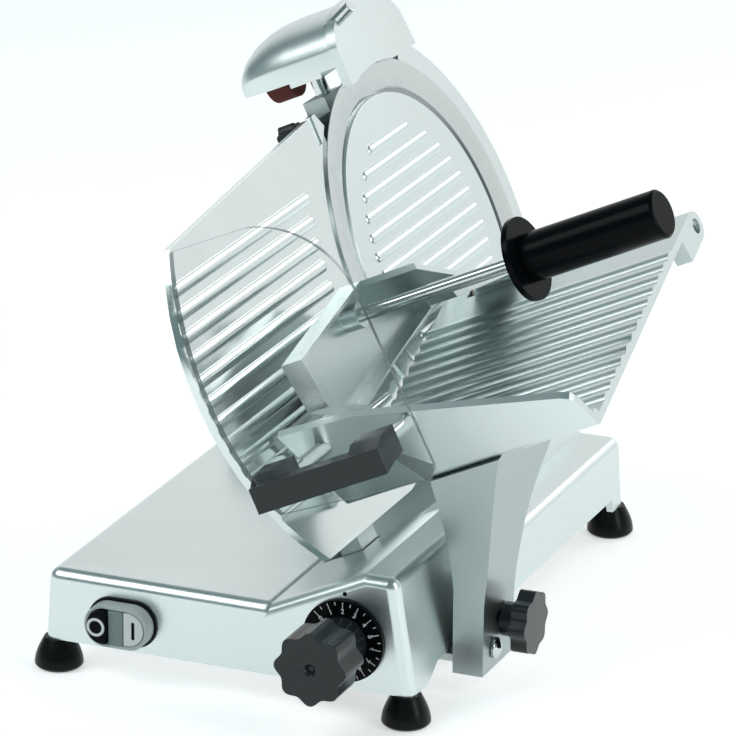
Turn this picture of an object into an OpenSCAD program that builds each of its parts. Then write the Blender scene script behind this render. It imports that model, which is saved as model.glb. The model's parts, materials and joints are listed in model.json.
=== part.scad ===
// Gravity-feed food slicer with a tilted knife, a sliding carriage, a ribbed gauge plate and a food pusher.
// The frame has its origin on the floor, midway between the four feet. X runs to the right of the person
// at the machine, Y to the back and Z up. Pieces round the knife are placed in the cutting frame, whose
// three axes are s, square to the knife, y, along the stroke, and t, up the face of the knife.

/* [Stand] */
// Width of the base casting
base_w = 299; // [290:1:310]
// Depth of the base casting
base_d = 444; // [436:1:470]
// Height of the base's lower edge above the floor
base_z = 24; // [22:0.5:27]
// Height of the flat tray on the left
tray_z = 80; // [77:0.5:82]
// Height of the ridge on the right
ridge_z = 114; // [110:0.5:116]
// Rounding of the casting's outer edges
edge_r = 9; // [7:0.5:11]
// Wall of the base casting
base_wall = 5; // [4:0.5:6]
// How far the right wall of the ridge leans in at its top
side_lean = 13; // [10:0.5:15]
// Radius of a rubber foot on the floor
foot_r = 18.5; // [17:0.5:21]
// Radius of a rubber foot at its top
foot_top_r = 11; // [9:0.5:13]
// Distance of a foot's centre from the two outer walls
foot_inset = 8.5; // [8:0.5:10]
// Radius of a foot screw's shank
foot_screw_r = 2.5; // [2:0.25:3]
// How far the right wall's lower edge is lifted for the carriage bracket
skirt_lift = 10.5; // [10:0.5:14]
// Thickness of the bottom plate
floor_t = 1.5; // [1:0.25:2]
// Radius of the cable gland's thread
gland_r = 8; // [6:0.5:9]

/* [Switch] */
// Width of the switch bezel
switch_w = 52; // [48:1:56]
// Height of the switch bezel
switch_h = 33; // [31:1:36]
// How far the bezel stands out
switch_out = 14; // [11:0.5:16]
// Width of the bezel's border
switch_border = 3; // [2.5:0.25:4]
// Travel of each button
button_travel = 2.5; // [1.5:0.25:3]
// Distance of the switch from the left wall
switch_side = 66; // [56:0.5:76]
// Height of the switch above the base's lower edge
switch_up = 23; // [21:0.5:26]

/* [Knife] */
// Tilt of the knife from upright, in degrees
tilt = 25; // [24:0.25:26]
// Radius of the knife
knife_r = 150; // [147:0.5:152]
// Distance of the knife's centre from the right side of the base
knife_side = 140.1; // [138:0.1:143]
// Distance of the knife's centre behind the middle of the base
knife_y = 154.6; // [151:0.2:158]
// Height of the knife's centre
knife_z = 246; // [244:0.5:249]
// Gap between the knife's lowest point and the sloped ridge
slope_gap = 12; // [10:0.5:14]
// Radius of the blade cover
cover_r = 123; // [118:0.5:124]
// Thickness of the blade cover
cover_t = 6.5; // [5:0.5:7]
// Thickness of the knife's web
web_t = 3.5; // [3:0.25:4]
// Radial width of the ring guard
ring_w = 22; // [18:0.5:24]
// Depth of the ring guard
ring_t = 13; // [12:0.5:14]

/* [Slice thickness] */
// Largest slice thickness
gauge_travel = 14; // [10:0.5:14]
// Turn of the thickness knob from closed to fully open, in degrees
knob_turn = 300; // [270:5:320]
// Thickness of the gauge plate without its ribs
plate_t = 6; // [5:0.25:7]
// Height of the ribs on the gauge plate
rib_h = 2; // [1.5:0.1:2.5]
// Distance between two ribs of the gauge plate
rib_pitch = 16.5; // [14:0.5:18]
// Radius of the thickness knob
knob_r = 28.5; // [25:0.5:30]
// Depth of the thickness knob's lobed head
knob_head = 34; // [30:1:40]
// Radius of the dial
dial_r = 32; // [31:0.5:34]
// Thickness of the dial
dial_t = 3.6; // [3:0.2:5]
// Radius of the knob's shaft
knob_shaft_r = 6; // [5:0.25:7]
// Radius of the cam at the closed setting
cam_r = 8; // [7.5:0.25:9]
// Radius of the cam follower
follower_r = 4; // [3:0.25:5]
// Radius of the gauge plate's guide rod
gauge_rod_r = 8; // [7:0.25:9]

/* [Drive] */
// Radius of the knife shaft
shaft_r = 10; // [9:0.25:11]
// Radius of the bearings
bearing_r = 21; // [20:0.25:22]
// Width of one bearing
bearing_w = 11; // [10:0.25:11.5]
// Radius of the knife pulley
pulley_r = 54; // [48:0.5:58]
// Radius of the motor pulley
motor_pulley_r = 14; // [12:0.5:18]
// Width of the drive belt
belt_w = 12; // [9:0.5:13]
// Thickness of the drive belt
belt_t = 2.2; // [1.6:0.1:2.6]
// Radius of the motor
motor_r = 46; // [42:0.5:48]
// Length of the motor
motor_len = 70; // [60:1:72]
// Distance from the knife shaft down to the motor shaft
motor_drop = 95; // [92:0.5:98]
// Radius of the rod that holds the blade cover
tie_r = 4; // [3:0.25:4.5]
// Radius of the knob on that rod
tie_knob_r = 18; // [15:0.5:22]

/* [Sharpener] */
// Length of the sharpener hood over the stones
hood_len = 88; // [84:1:94]
// Wall of the hood
hood_wall = 3.5; // [3:0.25:4]
// Radius of the grinding stone
stone_r = 17.5; // [15:0.5:18.5]
// Radius of the honing stone
hone_r = 13; // [10:0.5:15]
// Radius of the sharpener's stem
stem_r = 6; // [5:0.25:7]
// Radius of the press pin
pin_r = 4.8; // [4:0.1:5.5]

/* [Carriage] */
// Gap between the carriage and the plane of the knife
table_gap = 4; // [3.5:0.25:5]
// Length of the table, square to the knife
table_len = 217; // [205:1:225]
// Slope of the table's long leg, in degrees
leg_slope = 15; // [13:0.5:17]
// Length of the table's long leg
leg_len = 270; // [262:1:276]
// Thickness of the table
leg_t = 6; // [5:0.25:7]
// Height of the table's ribs
leg_rib_h = 2.2; // [1.5:0.1:2.6]
// Lean of the table's front wall from square to the floor of the trough, in degrees
wall_lean = 38; // [36:0.5:40]
// Height of the front wall at its end away from the knife, measured up the wall
wall_low = 34; // [31:0.5:38]
// Height of the front wall at its end next to the knife
wall_high = 92; // [86:0.5:96]
// Gap between the base wall and the carriage arm
arm_gap = 1.5; // [1:0.25:3]
// Thickness of the arm at its foot
arm_t = 24; // [20:0.5:26]
// Width of the arm at its foot
arm_w = 59; // [56:0.5:62]
// Radius of the rod that the carriage slides on
slide_r = 8; // [7:0.25:8.5]
// Radius of the arm's clamp knob
clamp_r = 25; // [22:0.5:28]
// Thickness of the hand guard
guard_t = 4; // [3:0.25:5]
// Width of the hand guard
guard_w = 128; // [122:1:134]
// Length of the carriage handle
handle_len = 110; // [104:1:116]
// Depth of the handle from its front face to the guard
handle_d = 36; // [32:0.5:40]
// Height of the handle's front face
handle_h = 20; // [17:0.5:22]
// Radius of a handle post
post_r = 6; // [5:0.25:6.5]

/* [Pusher] */
// Radius of the pusher's guide rod
guide_r = 6; // [5:0.25:6.5]
// Outer radius of the pusher's hub
hub_r = 15.5; // [14.5:0.25:16]
// Radius of the pusher's handle rod
push_rod_r = 5.5; // [5:0.25:6]
// Length of the bare handle rod between the plate and the disc
push_rod_len = 155; // [140:1:165]
// Radius of the hand disc
disc_r = 32; // [28:0.5:35]
// Radius of the grip
grip_r = 18.5; // [16:0.25:20]
// Length of the grip
grip_len = 114; // [105:1:120]
// Thickness of the pusher plate
push_plate_t = 6; // [5:0.25:7]
// Depth of the rim round the pusher plate
push_rim = 12; // [10:0.5:14]
// Length of the teeth under the pusher plate
tooth_len = 12; // [9:0.5:13]

/* [Hidden] */
$fn = 64;
// Clearance between moving pieces and the running fit of shafts
run_gap = 0.4;
fit_gap = 0.05;
eps = 0.01;

// Cutting frame
knife_x = base_w / 2 - knife_side;
slope_t = -(knife_r + slope_gap);
front_y = -base_d / 2;
function at(s, t) = [knife_x + s * cos(tilt) - t * sin(tilt), knife_z + s * sin(tilt) + t * cos(tilt)];
function s_at_height(t, z) = (z - knife_z - t * cos(tilt)) / sin(tilt);
function at_height(t, z) = at(s_at_height(t, z), t);
function arc(r, from, to, steps) =
  [for (i = [0:steps]) r * [cos(from + (to - from) * i / steps), sin(from + (to - from) * i / steps)]];
function moved(points, by) = [for (p = points) p + by];
// A smooth line through every point but the first and the last, which only set the slope at the ends
function curve(p, n) = [for (i = [1:len(p) - 3], k = [0:n - 1])
  let (u = k / n, a = p[i - 1], b = p[i], c = p[i + 1], d = p[i + 2])
    b + (c - a) * u / 2 + (2 * a - 5 * b + 4 * c - d) * u * u / 2 + (3 * b - a - 3 * c + d) * u * u * u / 2];

// Feet and bosses
foot_x = base_w / 2 - foot_inset;
foot_y = base_d / 2 - foot_inset;
boss_r = 6;
boss_h = 12;
foot_screw_top = base_z + 9;
tray_lean = 3;
nose_back = -70;
rear_z = ridge_z - 8;
foot_head_r = 5.5;
foot_head_z = 8;
foot_head_t = 4;
foot_edge = 2.5;

floor_right = base_w / 2 - 89.5;
gland_x = -base_w / 2 + 47.5;
gland_z = base_z + 23;
gland_nut = 5;
gland_flange = 4;
gland_len = 12;
gland_wall = 4;
knob_boss_r = 14;
knob_boss_len = 32;
control_side = 24;
control_w = 85.5;
control_y = -60;
control_d = 80;
control_room = 12;
nose_lap = 20;
rear_flat = 3;
rear_run = 13;
skirt_front = 27;
skirt_ramp = 25;
skirt_back = 26;

// Switch
switch_x = -base_w / 2 + switch_side;
switch_z = base_z + switch_up;
gasket_t = 1.5;
lens_w = 12;
stop_proud = 4;
start_proud = 0.5;
button_back = gasket_t + button_travel + 2 * run_gap;
switch_block_d = 34;

// Slide way of the carriage inside the base
slide_x = base_w / 2 - 25;
slide_z = base_z + 22;
bush_t = 2;
bush_len = 20;
block_w = 23;
block_h = 29;
tongue_z = base_z + 1;
tongue_t = 6;
block_z = tongue_z + tongue_t;
shoe_t = 2.7;
bar_x = base_w / 2 - 54.5;
bar_w = 12;
bar_z = block_z + shoe_t + 0.3;
bar_t = 5;
slide_boss_r = 13;
slide_boss_len = 14;

// Carriage arm
arm_x = base_w / 2 + arm_gap;
arm_y = front_y + 74;
arm_z = base_z - 7;
upstand_t = 8;
upstand_h = 40;
upstand_inset = 8;
arm_bolt_y = arm_y + 22;
arm_bolt_z = base_z + 9;
arm_bolt_r = 4;
clamp_y = arm_y + 40;
clamp_z = base_z + 26;
stud_r = 5;
stud_tip = 1;
clamp_stem_r = 13;
clamp_stem_len = 12;
clamp_head = 13;
clamp_lobe = 3.5;
bolt_dome_r = 12;
arm_flare = 1.6;

// Table of the carriage, in the cutting frame
vee_y = -297;
vee_t = -117;
function leg(p, q) =
  [vee_y + p * cos(leg_slope) - q * sin(leg_slope), vee_t + p * sin(leg_slope) + q * cos(leg_slope)];
wall_flat = 66;
table_s = table_gap;
table_end = table_gap + table_len;
leg_rib_n = 13;
leg_rib_pitch = 16.6;
leg_rib_first = 28.5;
leg_rib_r = 9;
vee_r = leg_t - 0.05;
rod_boss_s = 14;
lug_lap = 14;
hub_gap = 4.2;
rod_p = leg_len + hub_gap + hub_r;
rod_q = -12.4;
rod_at = leg(rod_p, rod_q);
rod_boss_r = 12;
rod_recess = 3;

// Hand guard and handle, in the cutting frame
guard_y = -398;
guard_s = table_gap + 0.5;
guard_top = 112;
guard_bottom = -96;
guard_corner = 76;
flange_out = 36;
post_s = [27, 101];
post_t = -69;
handle_s = guard_s + guard_t + run_gap;
handle_y = guard_y - guard_t / 2 - handle_d;
handle_top = -64;
ear_w = 26;
ear_rise = 6;
bar_depth = 15;
handle_screw_r = 2.5;
screw_in_ear = 14;

// Pusher, in the cutting frame
push_s = 26.5;
bush_wall = 3;
push_hub_len = 38.5;
bush_flange_t = 2.2;
bush_flange_r = 13.5;
bush_s = push_s;
hub_s = bush_s + bush_flange_t + run_gap;
rod_boss_near = bush_s - run_gap - table_s;
bush_end = hub_s + push_hub_len + run_gap + bush_flange_t;
push_outline = [[-338, 54], [-208, 75], [-116, 36], [-111, 24], [-201, 9], [-277, -7], [-328, 13]];
push_arm = [[-122, 36.5], [6, 14], [-9, 12.4], [-116, 25.5]];
push_rod_at = [-229, 54];
push_boss_r = 10;
push_boss_len = 14;
roof_len = 60;
roof_t = 4;
tooth_n = 9;
tooth_w = 5;
comb_t = 2.5;
comb_h = 9;
push_mid = [-222, 31];
rim_share = 0.93;
disc_t = 5;
grip_end = 12;
grip_edge = 2;
disc_s = push_s + push_plate_t + push_rod_len;

// Gauge plate and its slide, in the cutting frame
plate_back = -(plate_t + rib_h);
plate_gap = 3;
plate_corner = [-98, 136];
plate_low = -149;
plate_low_front = -346;
plate_low_back = -188;
plate_front = -427;
plate_front_t = 14;
plate_top_front = [-385, 113];
rib_n = 12;
rib_top = 84.5;
rib_r = 7;
gauge_y = -270;
gauge_rod_t = slope_t - 24;
tab_t = 8;
neck_w = 30;
neck_t = 18;
slot_gap = 2;
slide_w = 44;
slide_len = 56;
slide_h = 28;
slide_front = 20;
lug_t = 10;
lug_near = 14;
lug_far = -76;
knob_t = slope_t - 41;
knob_at = at(0, knob_t);
lug_drop = 14;
lug_far_top = -155;
gauge_rod_stop = 1;
knob_collar = 27;
knob_neck_r = 0.68 * knob_r;
knob_lobe = 4;
knob_lobe_n = 8;
knob_end = 12;
dimple_r = 5;
tab_w = 60;
tab_h = 50;
tab_up = 4;
follower_w = 14;
cam_t = 8;
cam_l = gauge_y - 48;
follower_s = -(cam_r + follower_r + run_gap);

// Knife and drive, in the cutting frame
cover_play = 1.5;
cover_front = -cover_play;
cover_back = cover_front - cover_t;
web_front = cover_back - cover_play;
web_back = web_front - web_t;
cover_gap = 2;
cover_rib_n = 13;
cover_rib_pitch = 14.5;
cover_rib_reach = 94;
cover_rib_r = 6;
cover_rib_h = 2;
rim_lip = 2;
bevel_w = 12;
bevel_d = 6.5;
edge_t = 0.4;
spigot_r = 28;
hub_flange_r = 45;
hub_flange_t = 6;
tie_bore_r = tie_r + 1;
case_front = web_back - hub_flange_t - 3;
case_wall = 5;
case_r = 96;
case_depth = 48;
case_back = case_front - case_depth;
bearing_wall = 9;
bearing_flange_r = 46;
bearing_front = case_front + 1;
bearing_tube = 2 * bearing_w + 3;
pulley_s = case_back + case_wall + 3;
pulley_w = belt_w + 2;
belt_gap = 0.3;
motor_bore = motor_r + 4;
motor_end = case_back - motor_len - 6;
tube_r = motor_bore + 6;
tube_s = motor_end - 8;
tube_left = knife_x + tube_s * cos(tilt) + (motor_drop - tube_r) * sin(tilt);
motor_flange_t = 6;
motor_shaft_r = 6;
housing_left = min(-base_w / 2 + edge_r + 0.5, tube_left);
housing_right = knife_x + 10.6;
housing_y = 57;
housing_h = 32;
housing_rim = 10;
vent_t = 3;
vent_w = 60;
vent_h = 22;
vent_z = tray_z + 5;
vent_rim = 4;
slit_pitch = 10;
slit_w = 4;
pulley_cover_r = 58;
pulley_cover_t = 4;
pulley_cover_rise = 25;
tie_knob_len = 20;
tie_neck_r = 0.6 * tie_knob_r;
tie_neck_len = 8;
tie_lobe = 3;
ring_from = -58;
ring_to = 62;
ring_gap = 2;
ring_face = -3;
ring_r = knife_r + ring_gap + ring_w;
spoke_w = 26;
spoke_t = 6;
spoke_a = 32;
ring_edge = 3;
ring_foot = [40, 57];

// Sharpener, in the cutting frame
hood_front = -43;
hood_back = 81;
hood_base = knife_r + 8;
hood_top = knife_r + 48;
hood_nose = 52;
nose_narrow = 0.24;
nose_drop = 0.6;
boss_cap = 15.5;
hood_mid = (hood_front + hood_back) / 2;
hood_half = (hood_back - hood_front) / 2;
cheek_s = 3;
cheek_t = 8;
cheek_rim = 2.5;
stem_at = [-26, -25];
stem_foot = knife_r - 48;
stem_top = knife_r + 25;
post_block = [20, 34, 35];
post_arm_y = -70;
post_arm_t = knife_r - 22;
post_top = knife_r - 10;
carrier_t = 20;
carrier_base = knife_r + 3;
spindle_r = 4;
stone_t = knife_r + 11;
stone_y = -16;
stone_len = 20;
stone_s = -48;
spindle_len = 10;
hone_y = 24;
hone_len = 12;
pin_tilt = 23;
pin_len = 36;
pin_room = 8;
pin_at = [-7, -26, knife_r + 33.2];
post_knob_at = [-57, knife_r - 32];
post_knob_r = 13;
post_knob_len = 14;
post_stud_r = 3;
post_neck_r = 0.55 * post_knob_r;
post_neck_len = 6;
post_lobe = 2.4;
post_lobe_n = 7;

// Colours
cast_colour = [0.74, 0.78, 0.78];
steel_colour = [0.82, 0.84, 0.85];
black_colour = [0.06, 0.06, 0.07];

// Placing helpers. Children of cut_frame use s, y and t as their x, y and z.
module cut_frame() {
  translate([knife_x, knife_y, knife_z])
    rotate([0, -tilt, 0])
      children();
}

// A block between two corners
module block(from, to) {
  translate(from)
    cube(to - from);
}

// A round bar along x, y or z between two places on that axis
module bar_x_dir(from, to, r) {
  translate([from, 0, 0])
    rotate([0, 90, 0])
      cylinder(r = r, h = to - from);
}

module bar_y_dir(from, to, r) {
  translate([0, from, 0])
    rotate([-90, 0, 0])
      cylinder(r = r, h = to - from);
}

// A flat outline of y and z, drawn out along x
module slab_x(from, to) {
  translate([from, 0, 0])
    rotate([90, 0, 90])
      linear_extrude(to - from)
        children();
}

// A flat outline of x and z, drawn out along y
module slab_y(from, to) {
  translate([0, to, 0])
    rotate([90, 0, 0])
      linear_extrude(to - from)
        children();
}

// A flat outline with two round ends
module pill(w, h) {
  square([w - h, h], center = true);
  for (side = [-1, 1])
    translate([side * (w - h) / 2, 0])
      circle(h / 2);
}

// A lobed knob outline
module lobes(r, depth, n) {
  steps = 12 * n;
  polygon([for (i = [0:steps - 1])
    let (a = 360 * i / steps)
      (r - depth / 2 + depth / 2 * cos(n * a)) * [cos(a), sin(a)]]);
}

module at_corners(x, y) {
  for (sx = [-1, 1], sy = [-1, 1])
    translate([sx * x, sy * y, 0])
      children();
}

// Stand

// Rounded box between two places in y, hung on rounded corners. Each corner is an x and a z.
module rounded(from, to, corners) {
  hull()
    for (y = [from, to], p = corners)
      translate([p[0], y, p[1]])
        if (p[1] > base_z)
          sphere(edge_r, $fn = 32);
        else
          cylinder(r = edge_r, h = 1, $fn = 32);
}

// The outer form: the flat tray, the raised nose at the front and the lower ridge behind it
module base_form() {
  inner_t = slope_t - edge_r;
  slope_low = at_height(inner_t, tray_z - edge_r - 4);
  nose_top = at_height(inner_t, ridge_z - edge_r);
  rear_top = at_height(inner_t, rear_z - edge_r);
  side = base_w / 2 - edge_r;
  top = tray_z - edge_r;
  end_y = base_d / 2 - edge_r;
  rounded(-end_y, end_y,
    [[-side, base_z], [-side + tray_lean, top], [slope_low[0], top], [slope_low[0], base_z]]);
  rounded(-end_y, nose_back,
    [slope_low, nose_top, [side - side_lean, ridge_z - edge_r], [side, base_z], [slope_low[0], base_z]]);
  rounded(nose_back - nose_lap, end_y,
    [[slope_low[0], top], [slope_low[0], base_z], [side, base_z], [side - tray_lean, top]]);
  rounded(nose_back - nose_lap, end_y,
    [slope_low, rear_top, rear_top + [rear_flat, 0], [rear_top[0] + rear_run, top]]);
}

module base_hollow() {
  under = slope_t - base_wall;
  side = base_w / 2 - base_wall;
  end_y = base_d / 2 - base_wall;
  inside_z = tray_z - base_wall;
  low = at_height(under, inside_z - 1);
  rear_low = at_height(under - 1, inside_z - 3);
  rear_top = at_height(under - 1, rear_z - base_wall);
  side_top = side - side_lean * (inside_z - base_z) / (ridge_z - base_z);
  slab_y(-end_y, end_y)
    polygon([[-side, base_z - 1], [-side + tray_lean, inside_z], [side_top, inside_z], [side, base_z - 1]]);
  slab_y(-end_y, nose_back + base_wall)
    polygon([
      low,
      at_height(under, ridge_z - base_wall),
      [side - side_lean, ridge_z - base_wall],
      [side_top, inside_z - 1]]);
  slab_y(nose_back, end_y)
    polygon([rear_low, rear_top, rear_top + [rear_flat - 1, 0], [rear_top[0] + rear_run - 1, inside_z - 3]]);
}

// Bosses for the feet, the slide rod, the knob shaft and the gauge rod
module base_bosses() {
  inside = base_d / 2 - base_wall;
  at_corners(foot_x, foot_y)
    translate([0, 0, base_z])
      cylinder(r = boss_r, h = boss_h);
  for (side = [-1, 1])
    translate([slide_x, side * (inside - slide_boss_len / 2), slide_z])
      bar_y_dir(-slide_boss_len / 2 - 1, slide_boss_len / 2 + 1, slide_boss_r);
  translate([knob_at[0], 0, knob_at[1]])
    bar_y_dir(front_y + base_wall - 1, front_y + knob_boss_len, knob_boss_r);
  cut_frame() {
    block([lug_near, gauge_y - neck_w / 2, gauge_rod_t - lug_drop],
       [lug_near + lug_t, gauge_y + neck_w / 2, slope_t - base_wall / 2]);
    block([lug_far, gauge_y - neck_w / 2, gauge_rod_t - lug_drop],
       [lug_far + lug_t, gauge_y + neck_w / 2, lug_far_top]);
  }
}

module base_cuts() {
  skirt_y = -front_y - skirt_back;
  skirt_z = base_z + skirt_lift;
  at_corners(foot_x, foot_y)
    translate([0, 0, base_z - 1])
      cylinder(r = foot_screw_r, h = foot_screw_top - base_z + 1);
  translate([slide_x, 0, slide_z])
    bar_y_dir(front_y + base_wall, -front_y - base_wall, slide_r);
  translate([knob_at[0], 0, knob_at[1]])
    bar_y_dir(front_y - 1, front_y + knob_boss_len + 1, knob_shaft_r + fit_gap);
  cut_frame() {
    translate([0, gauge_y, gauge_rod_t])
      bar_x_dir(lug_far + gauge_rod_stop, lug_near + lug_t - gauge_rod_stop, gauge_rod_r);
    slot_left = plate_back - neck_t - gauge_travel - slot_gap;
    block([slot_left, gauge_y - neck_w / 2 - slot_gap, slope_t - 2 * base_wall],
          [plate_back + slot_gap, gauge_y + neck_w / 2 + slot_gap, slope_t + base_wall]);
  }
  slab_x(base_w / 2 - 2 * base_wall - edge_r, base_w / 2 + 1)
    polygon([
      [front_y + skirt_front, base_z - 1],
      [front_y + skirt_front + skirt_ramp, skirt_z],
      [skirt_y, skirt_z],
      [skirt_y, base_z - 1]]);
  translate([switch_x, 0, switch_z])
    slab_y(front_y - 1, front_y + base_wall + 1)
      pill(switch_w - 2 * switch_border - 2, switch_h - 2 * switch_border - 2);
  translate([gland_x, 0, gland_z])
    bar_y_dir(-front_y - base_wall - 1, -front_y + 1, gland_r);
  block([housing_left + housing_rim, knife_y - housing_y + housing_rim, tray_z - base_wall - 1],
     [housing_right - housing_rim, knife_y + housing_y - housing_rim, tray_z + 1]);
}

module base_casting() {
  color(cast_colour)
    difference() {
      union() {
        difference() {
          base_form();
          base_hollow();
        }
        base_bosses();
      }
      base_cuts();
    }
}

module base_plate() {
  side = base_w / 2 - base_wall;
  color("silver")
    difference() {
      block([-side + run_gap, front_y + base_wall, base_z],
            [floor_right, -front_y - base_wall, base_z + floor_t]);
      at_corners(foot_x, foot_y)
        cylinder(r = boss_r, h = base_z + 2 * floor_t);
    }
}

// Domed rubber feet
module feet() {
  steps = 10;
  color(black_colour)
    at_corners(foot_x, foot_y)
      difference() {
        rotate_extrude()
          polygon(concat(
            [[0, 0], [foot_r - foot_edge, 0]],
            [for (i = [0:steps])
              [foot_top_r + (foot_r - foot_top_r) * cos(90 * i / steps),
              foot_edge + (base_z - foot_edge) * i / steps]],
            [[0, base_z]]));
        translate([0, 0, -1])
          cylinder(r = foot_head_r + fit_gap, h = foot_head_z + 1);
        cylinder(r = foot_screw_r, h = base_z + 1);
      }
}

module foot_screws() {
  color(steel_colour)
    at_corners(foot_x, foot_y) {
      translate([0, 0, foot_head_z - foot_head_t])
        cylinder(r = foot_head_r, h = foot_head_t);
      translate([0, 0, foot_head_z - 1])
        cylinder(r = foot_screw_r, h = foot_screw_top - foot_head_z);
    }
}

// Inlet for the mains cord in the back wall
module cable_gland() {
  back = -front_y;
  color(black_colour)
    translate([gland_x, 0, gland_z])
      difference() {
        union() {
          bar_y_dir(back - base_wall - gland_nut, back, gland_r);
          bar_y_dir(back, back + gland_flange, gland_r + gland_flange);
          bar_y_dir(back + gland_flange, back + gland_len, gland_r + 1.5);
          bar_y_dir(back - base_wall - gland_nut, back - base_wall, gland_r + 3);
        }
        bar_y_dir(back - base_wall - gland_nut - 1, back + gland_len + 1, gland_r - gland_wall);
      }
}

module control_box() {
  color("dimgray")
    translate([-base_w / 2 + control_side, control_y, base_z + floor_t])
      cube([control_w, control_d, tray_z - base_wall - control_room - base_z - floor_t]);
}

// Switch

module on_front(x, z) {
  translate([x, front_y, z])
    children();
}

module switch_gasket() {
  color(black_colour)
    on_front(switch_x, switch_z)
      slab_y(-gasket_t, 0)
        difference() {
          pill(switch_w + 4, switch_h + 4);
          pill(switch_w - 2 * switch_border - 2, switch_h - 2 * switch_border - 2);
        }
}

module switch_bezel() {
  color([0.72, 0.74, 0.75])
    on_front(switch_x, switch_z)
      slab_y(-switch_out, -gasket_t)
        difference() {
          pill(switch_w, switch_h);
          pill(switch_w - 2 * switch_border, switch_h - 2 * switch_border);
        }
}

// One half of the oval space inside the bezel, beside the lens
module button_outline(side) {
  inner_w = switch_w - 2 * switch_border - 2 * run_gap;
  inner_h = switch_h - 2 * switch_border - 2 * run_gap;
  intersection() {
    pill(inner_w, inner_h);
    translate([side * (lens_w / 2 + run_gap + inner_w / 2), 0])
      square([inner_w, inner_h], center = true);
  }
}

module stop_button() {
  color(black_colour)
    on_front(switch_x, switch_z)
      slab_y(-switch_out - stop_proud, -button_back)
        button_outline(-1);
}

module start_button() {
  color("white")
    on_front(switch_x, switch_z)
      slab_y(-switch_out - start_proud, -button_back)
        button_outline(1);
}

module switch_lens() {
  color([0.6, 0.63, 0.64])
    on_front(switch_x, switch_z)
      slab_y(-switch_out - start_proud, -gasket_t - run_gap)
        square([lens_w, switch_h - 2 * switch_border - run_gap], center = true);
}

// Contact block, with a neck through the front wall that the lens stands on
module switch_block() {
  color("dimgray")
    on_front(switch_x, switch_z) {
      slab_y(base_wall, base_wall + switch_block_d)
        square([switch_w - 6, switch_h - 3], center = true);
      slab_y(-gasket_t - run_gap, base_wall)
        pill(switch_w - 2 * switch_border - 2.5, switch_h - 2 * switch_border - 2.5);
    }
}

// Slice thickness

module on_knob_axis() {
  translate([knob_at[0], front_y, knob_at[1]])
    children();
}

module dial_disc() {
  color(black_colour)
    on_knob_axis()
      difference() {
        bar_y_dir(-run_gap - dial_t, -run_gap, dial_r);
        bar_y_dir(-run_gap - dial_t - 1, 0, knob_shaft_r);
      }
}

module thickness_knob() {
  back = -run_gap - dial_t;
  color(black_colour)
    on_knob_axis()
      difference() {
        union() {
          bar_y_dir(back - knob_collar, back, knob_neck_r);
          slab_y(back - knob_collar - knob_head, back - knob_collar)
            lobes(knob_r, knob_lobe, knob_lobe_n);
        }
        bar_y_dir(back - knob_collar - knob_head + knob_end, 0, knob_shaft_r);
        translate([0, back - knob_collar - knob_head, 0])
          rotate([-90, 0, 0])
            cylinder(r1 = dimple_r, r2 = dimple_r - 3, h = dimple_r - 1);
      }
}

module knob_shaft() {
  color(steel_colour)
    on_knob_axis()
      bar_y_dir(-run_gap - dial_t - knob_collar - knob_head + knob_end,
                knife_y - front_y + cam_l + cam_t, knob_shaft_r);
}

// Snail cam: its radius grows evenly with the turn of the knob
module gauge_cam() {
  steps = 60;
  color(steel_colour)
    cut_frame()
      translate([0, 0, knob_t])
        difference() {
          slab_y(cam_l, cam_l + cam_t)
            polygon([for (i = [0:steps])
              let (a = knob_turn * i / steps)
                (cam_r + gauge_travel * i / steps) * [cos(180 - a), sin(180 - a)]]);
          bar_y_dir(cam_l - 1, cam_l + cam_t + 1, knob_shaft_r);
        }
}

// Outline of the gauge plate: a bowed front edge and a back edge that follows the knife
module plate_outline() {
  gap_r = knife_r + plate_gap;
  top_a = 180 - asin(plate_corner[1] / (gap_r + 15));
  low_a = 180 + asin(128 / gap_r);
  bow = [for (i = [1:11])
    let (t = plate_top_front[1] + (plate_low - plate_top_front[1]) * i / 12,
      k = (t - plate_front_t) / (plate_low - plate_front_t))
      [plate_front + (t < plate_front_t ? (plate_low_front - plate_front) * pow(abs(k), 2.2)
        : (plate_top_front[0] - plate_front)
          * pow(abs((t - plate_front_t) / (plate_top_front[1] - plate_front_t)), 2)), t]];
  polygon(concat(
    [plate_corner, plate_top_front],
    bow,
    [[plate_low_front, plate_low], [plate_low_back, plate_low]],
    [for (p = arc(gap_r, low_a - 360, top_a - 360, 16)) p]));
}

module gauge_plate() {
  color(cast_colour)
    cut_frame()
      difference() {
        union() {
          slab_x(plate_back, -rib_h)
            plate_outline();
          intersection() {
            slab_x(plate_back, 1)
              plate_outline();
            for (i = [0:rib_n - 1])
              gauge_rib(rib_top - i * rib_pitch);
          }
        }
        block([plate_back - 1, plate_corner[0] - 13, plate_corner[1] - 23],
           [1, plate_corner[0] - 6, plate_corner[1] + 6]);
      }
}

// One rib with a rounded end, short of the knife
module gauge_rib(t) {
  end_r = knife_r + 32;
  end_y = -sqrt(end_r * end_r - t * t);
  translate([-rib_r, 0, t]) {
    bar_y_dir(plate_front - 10, end_y, rib_r);
    translate([0, end_y, 0])
      sphere(rib_r);
  }
}

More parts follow.
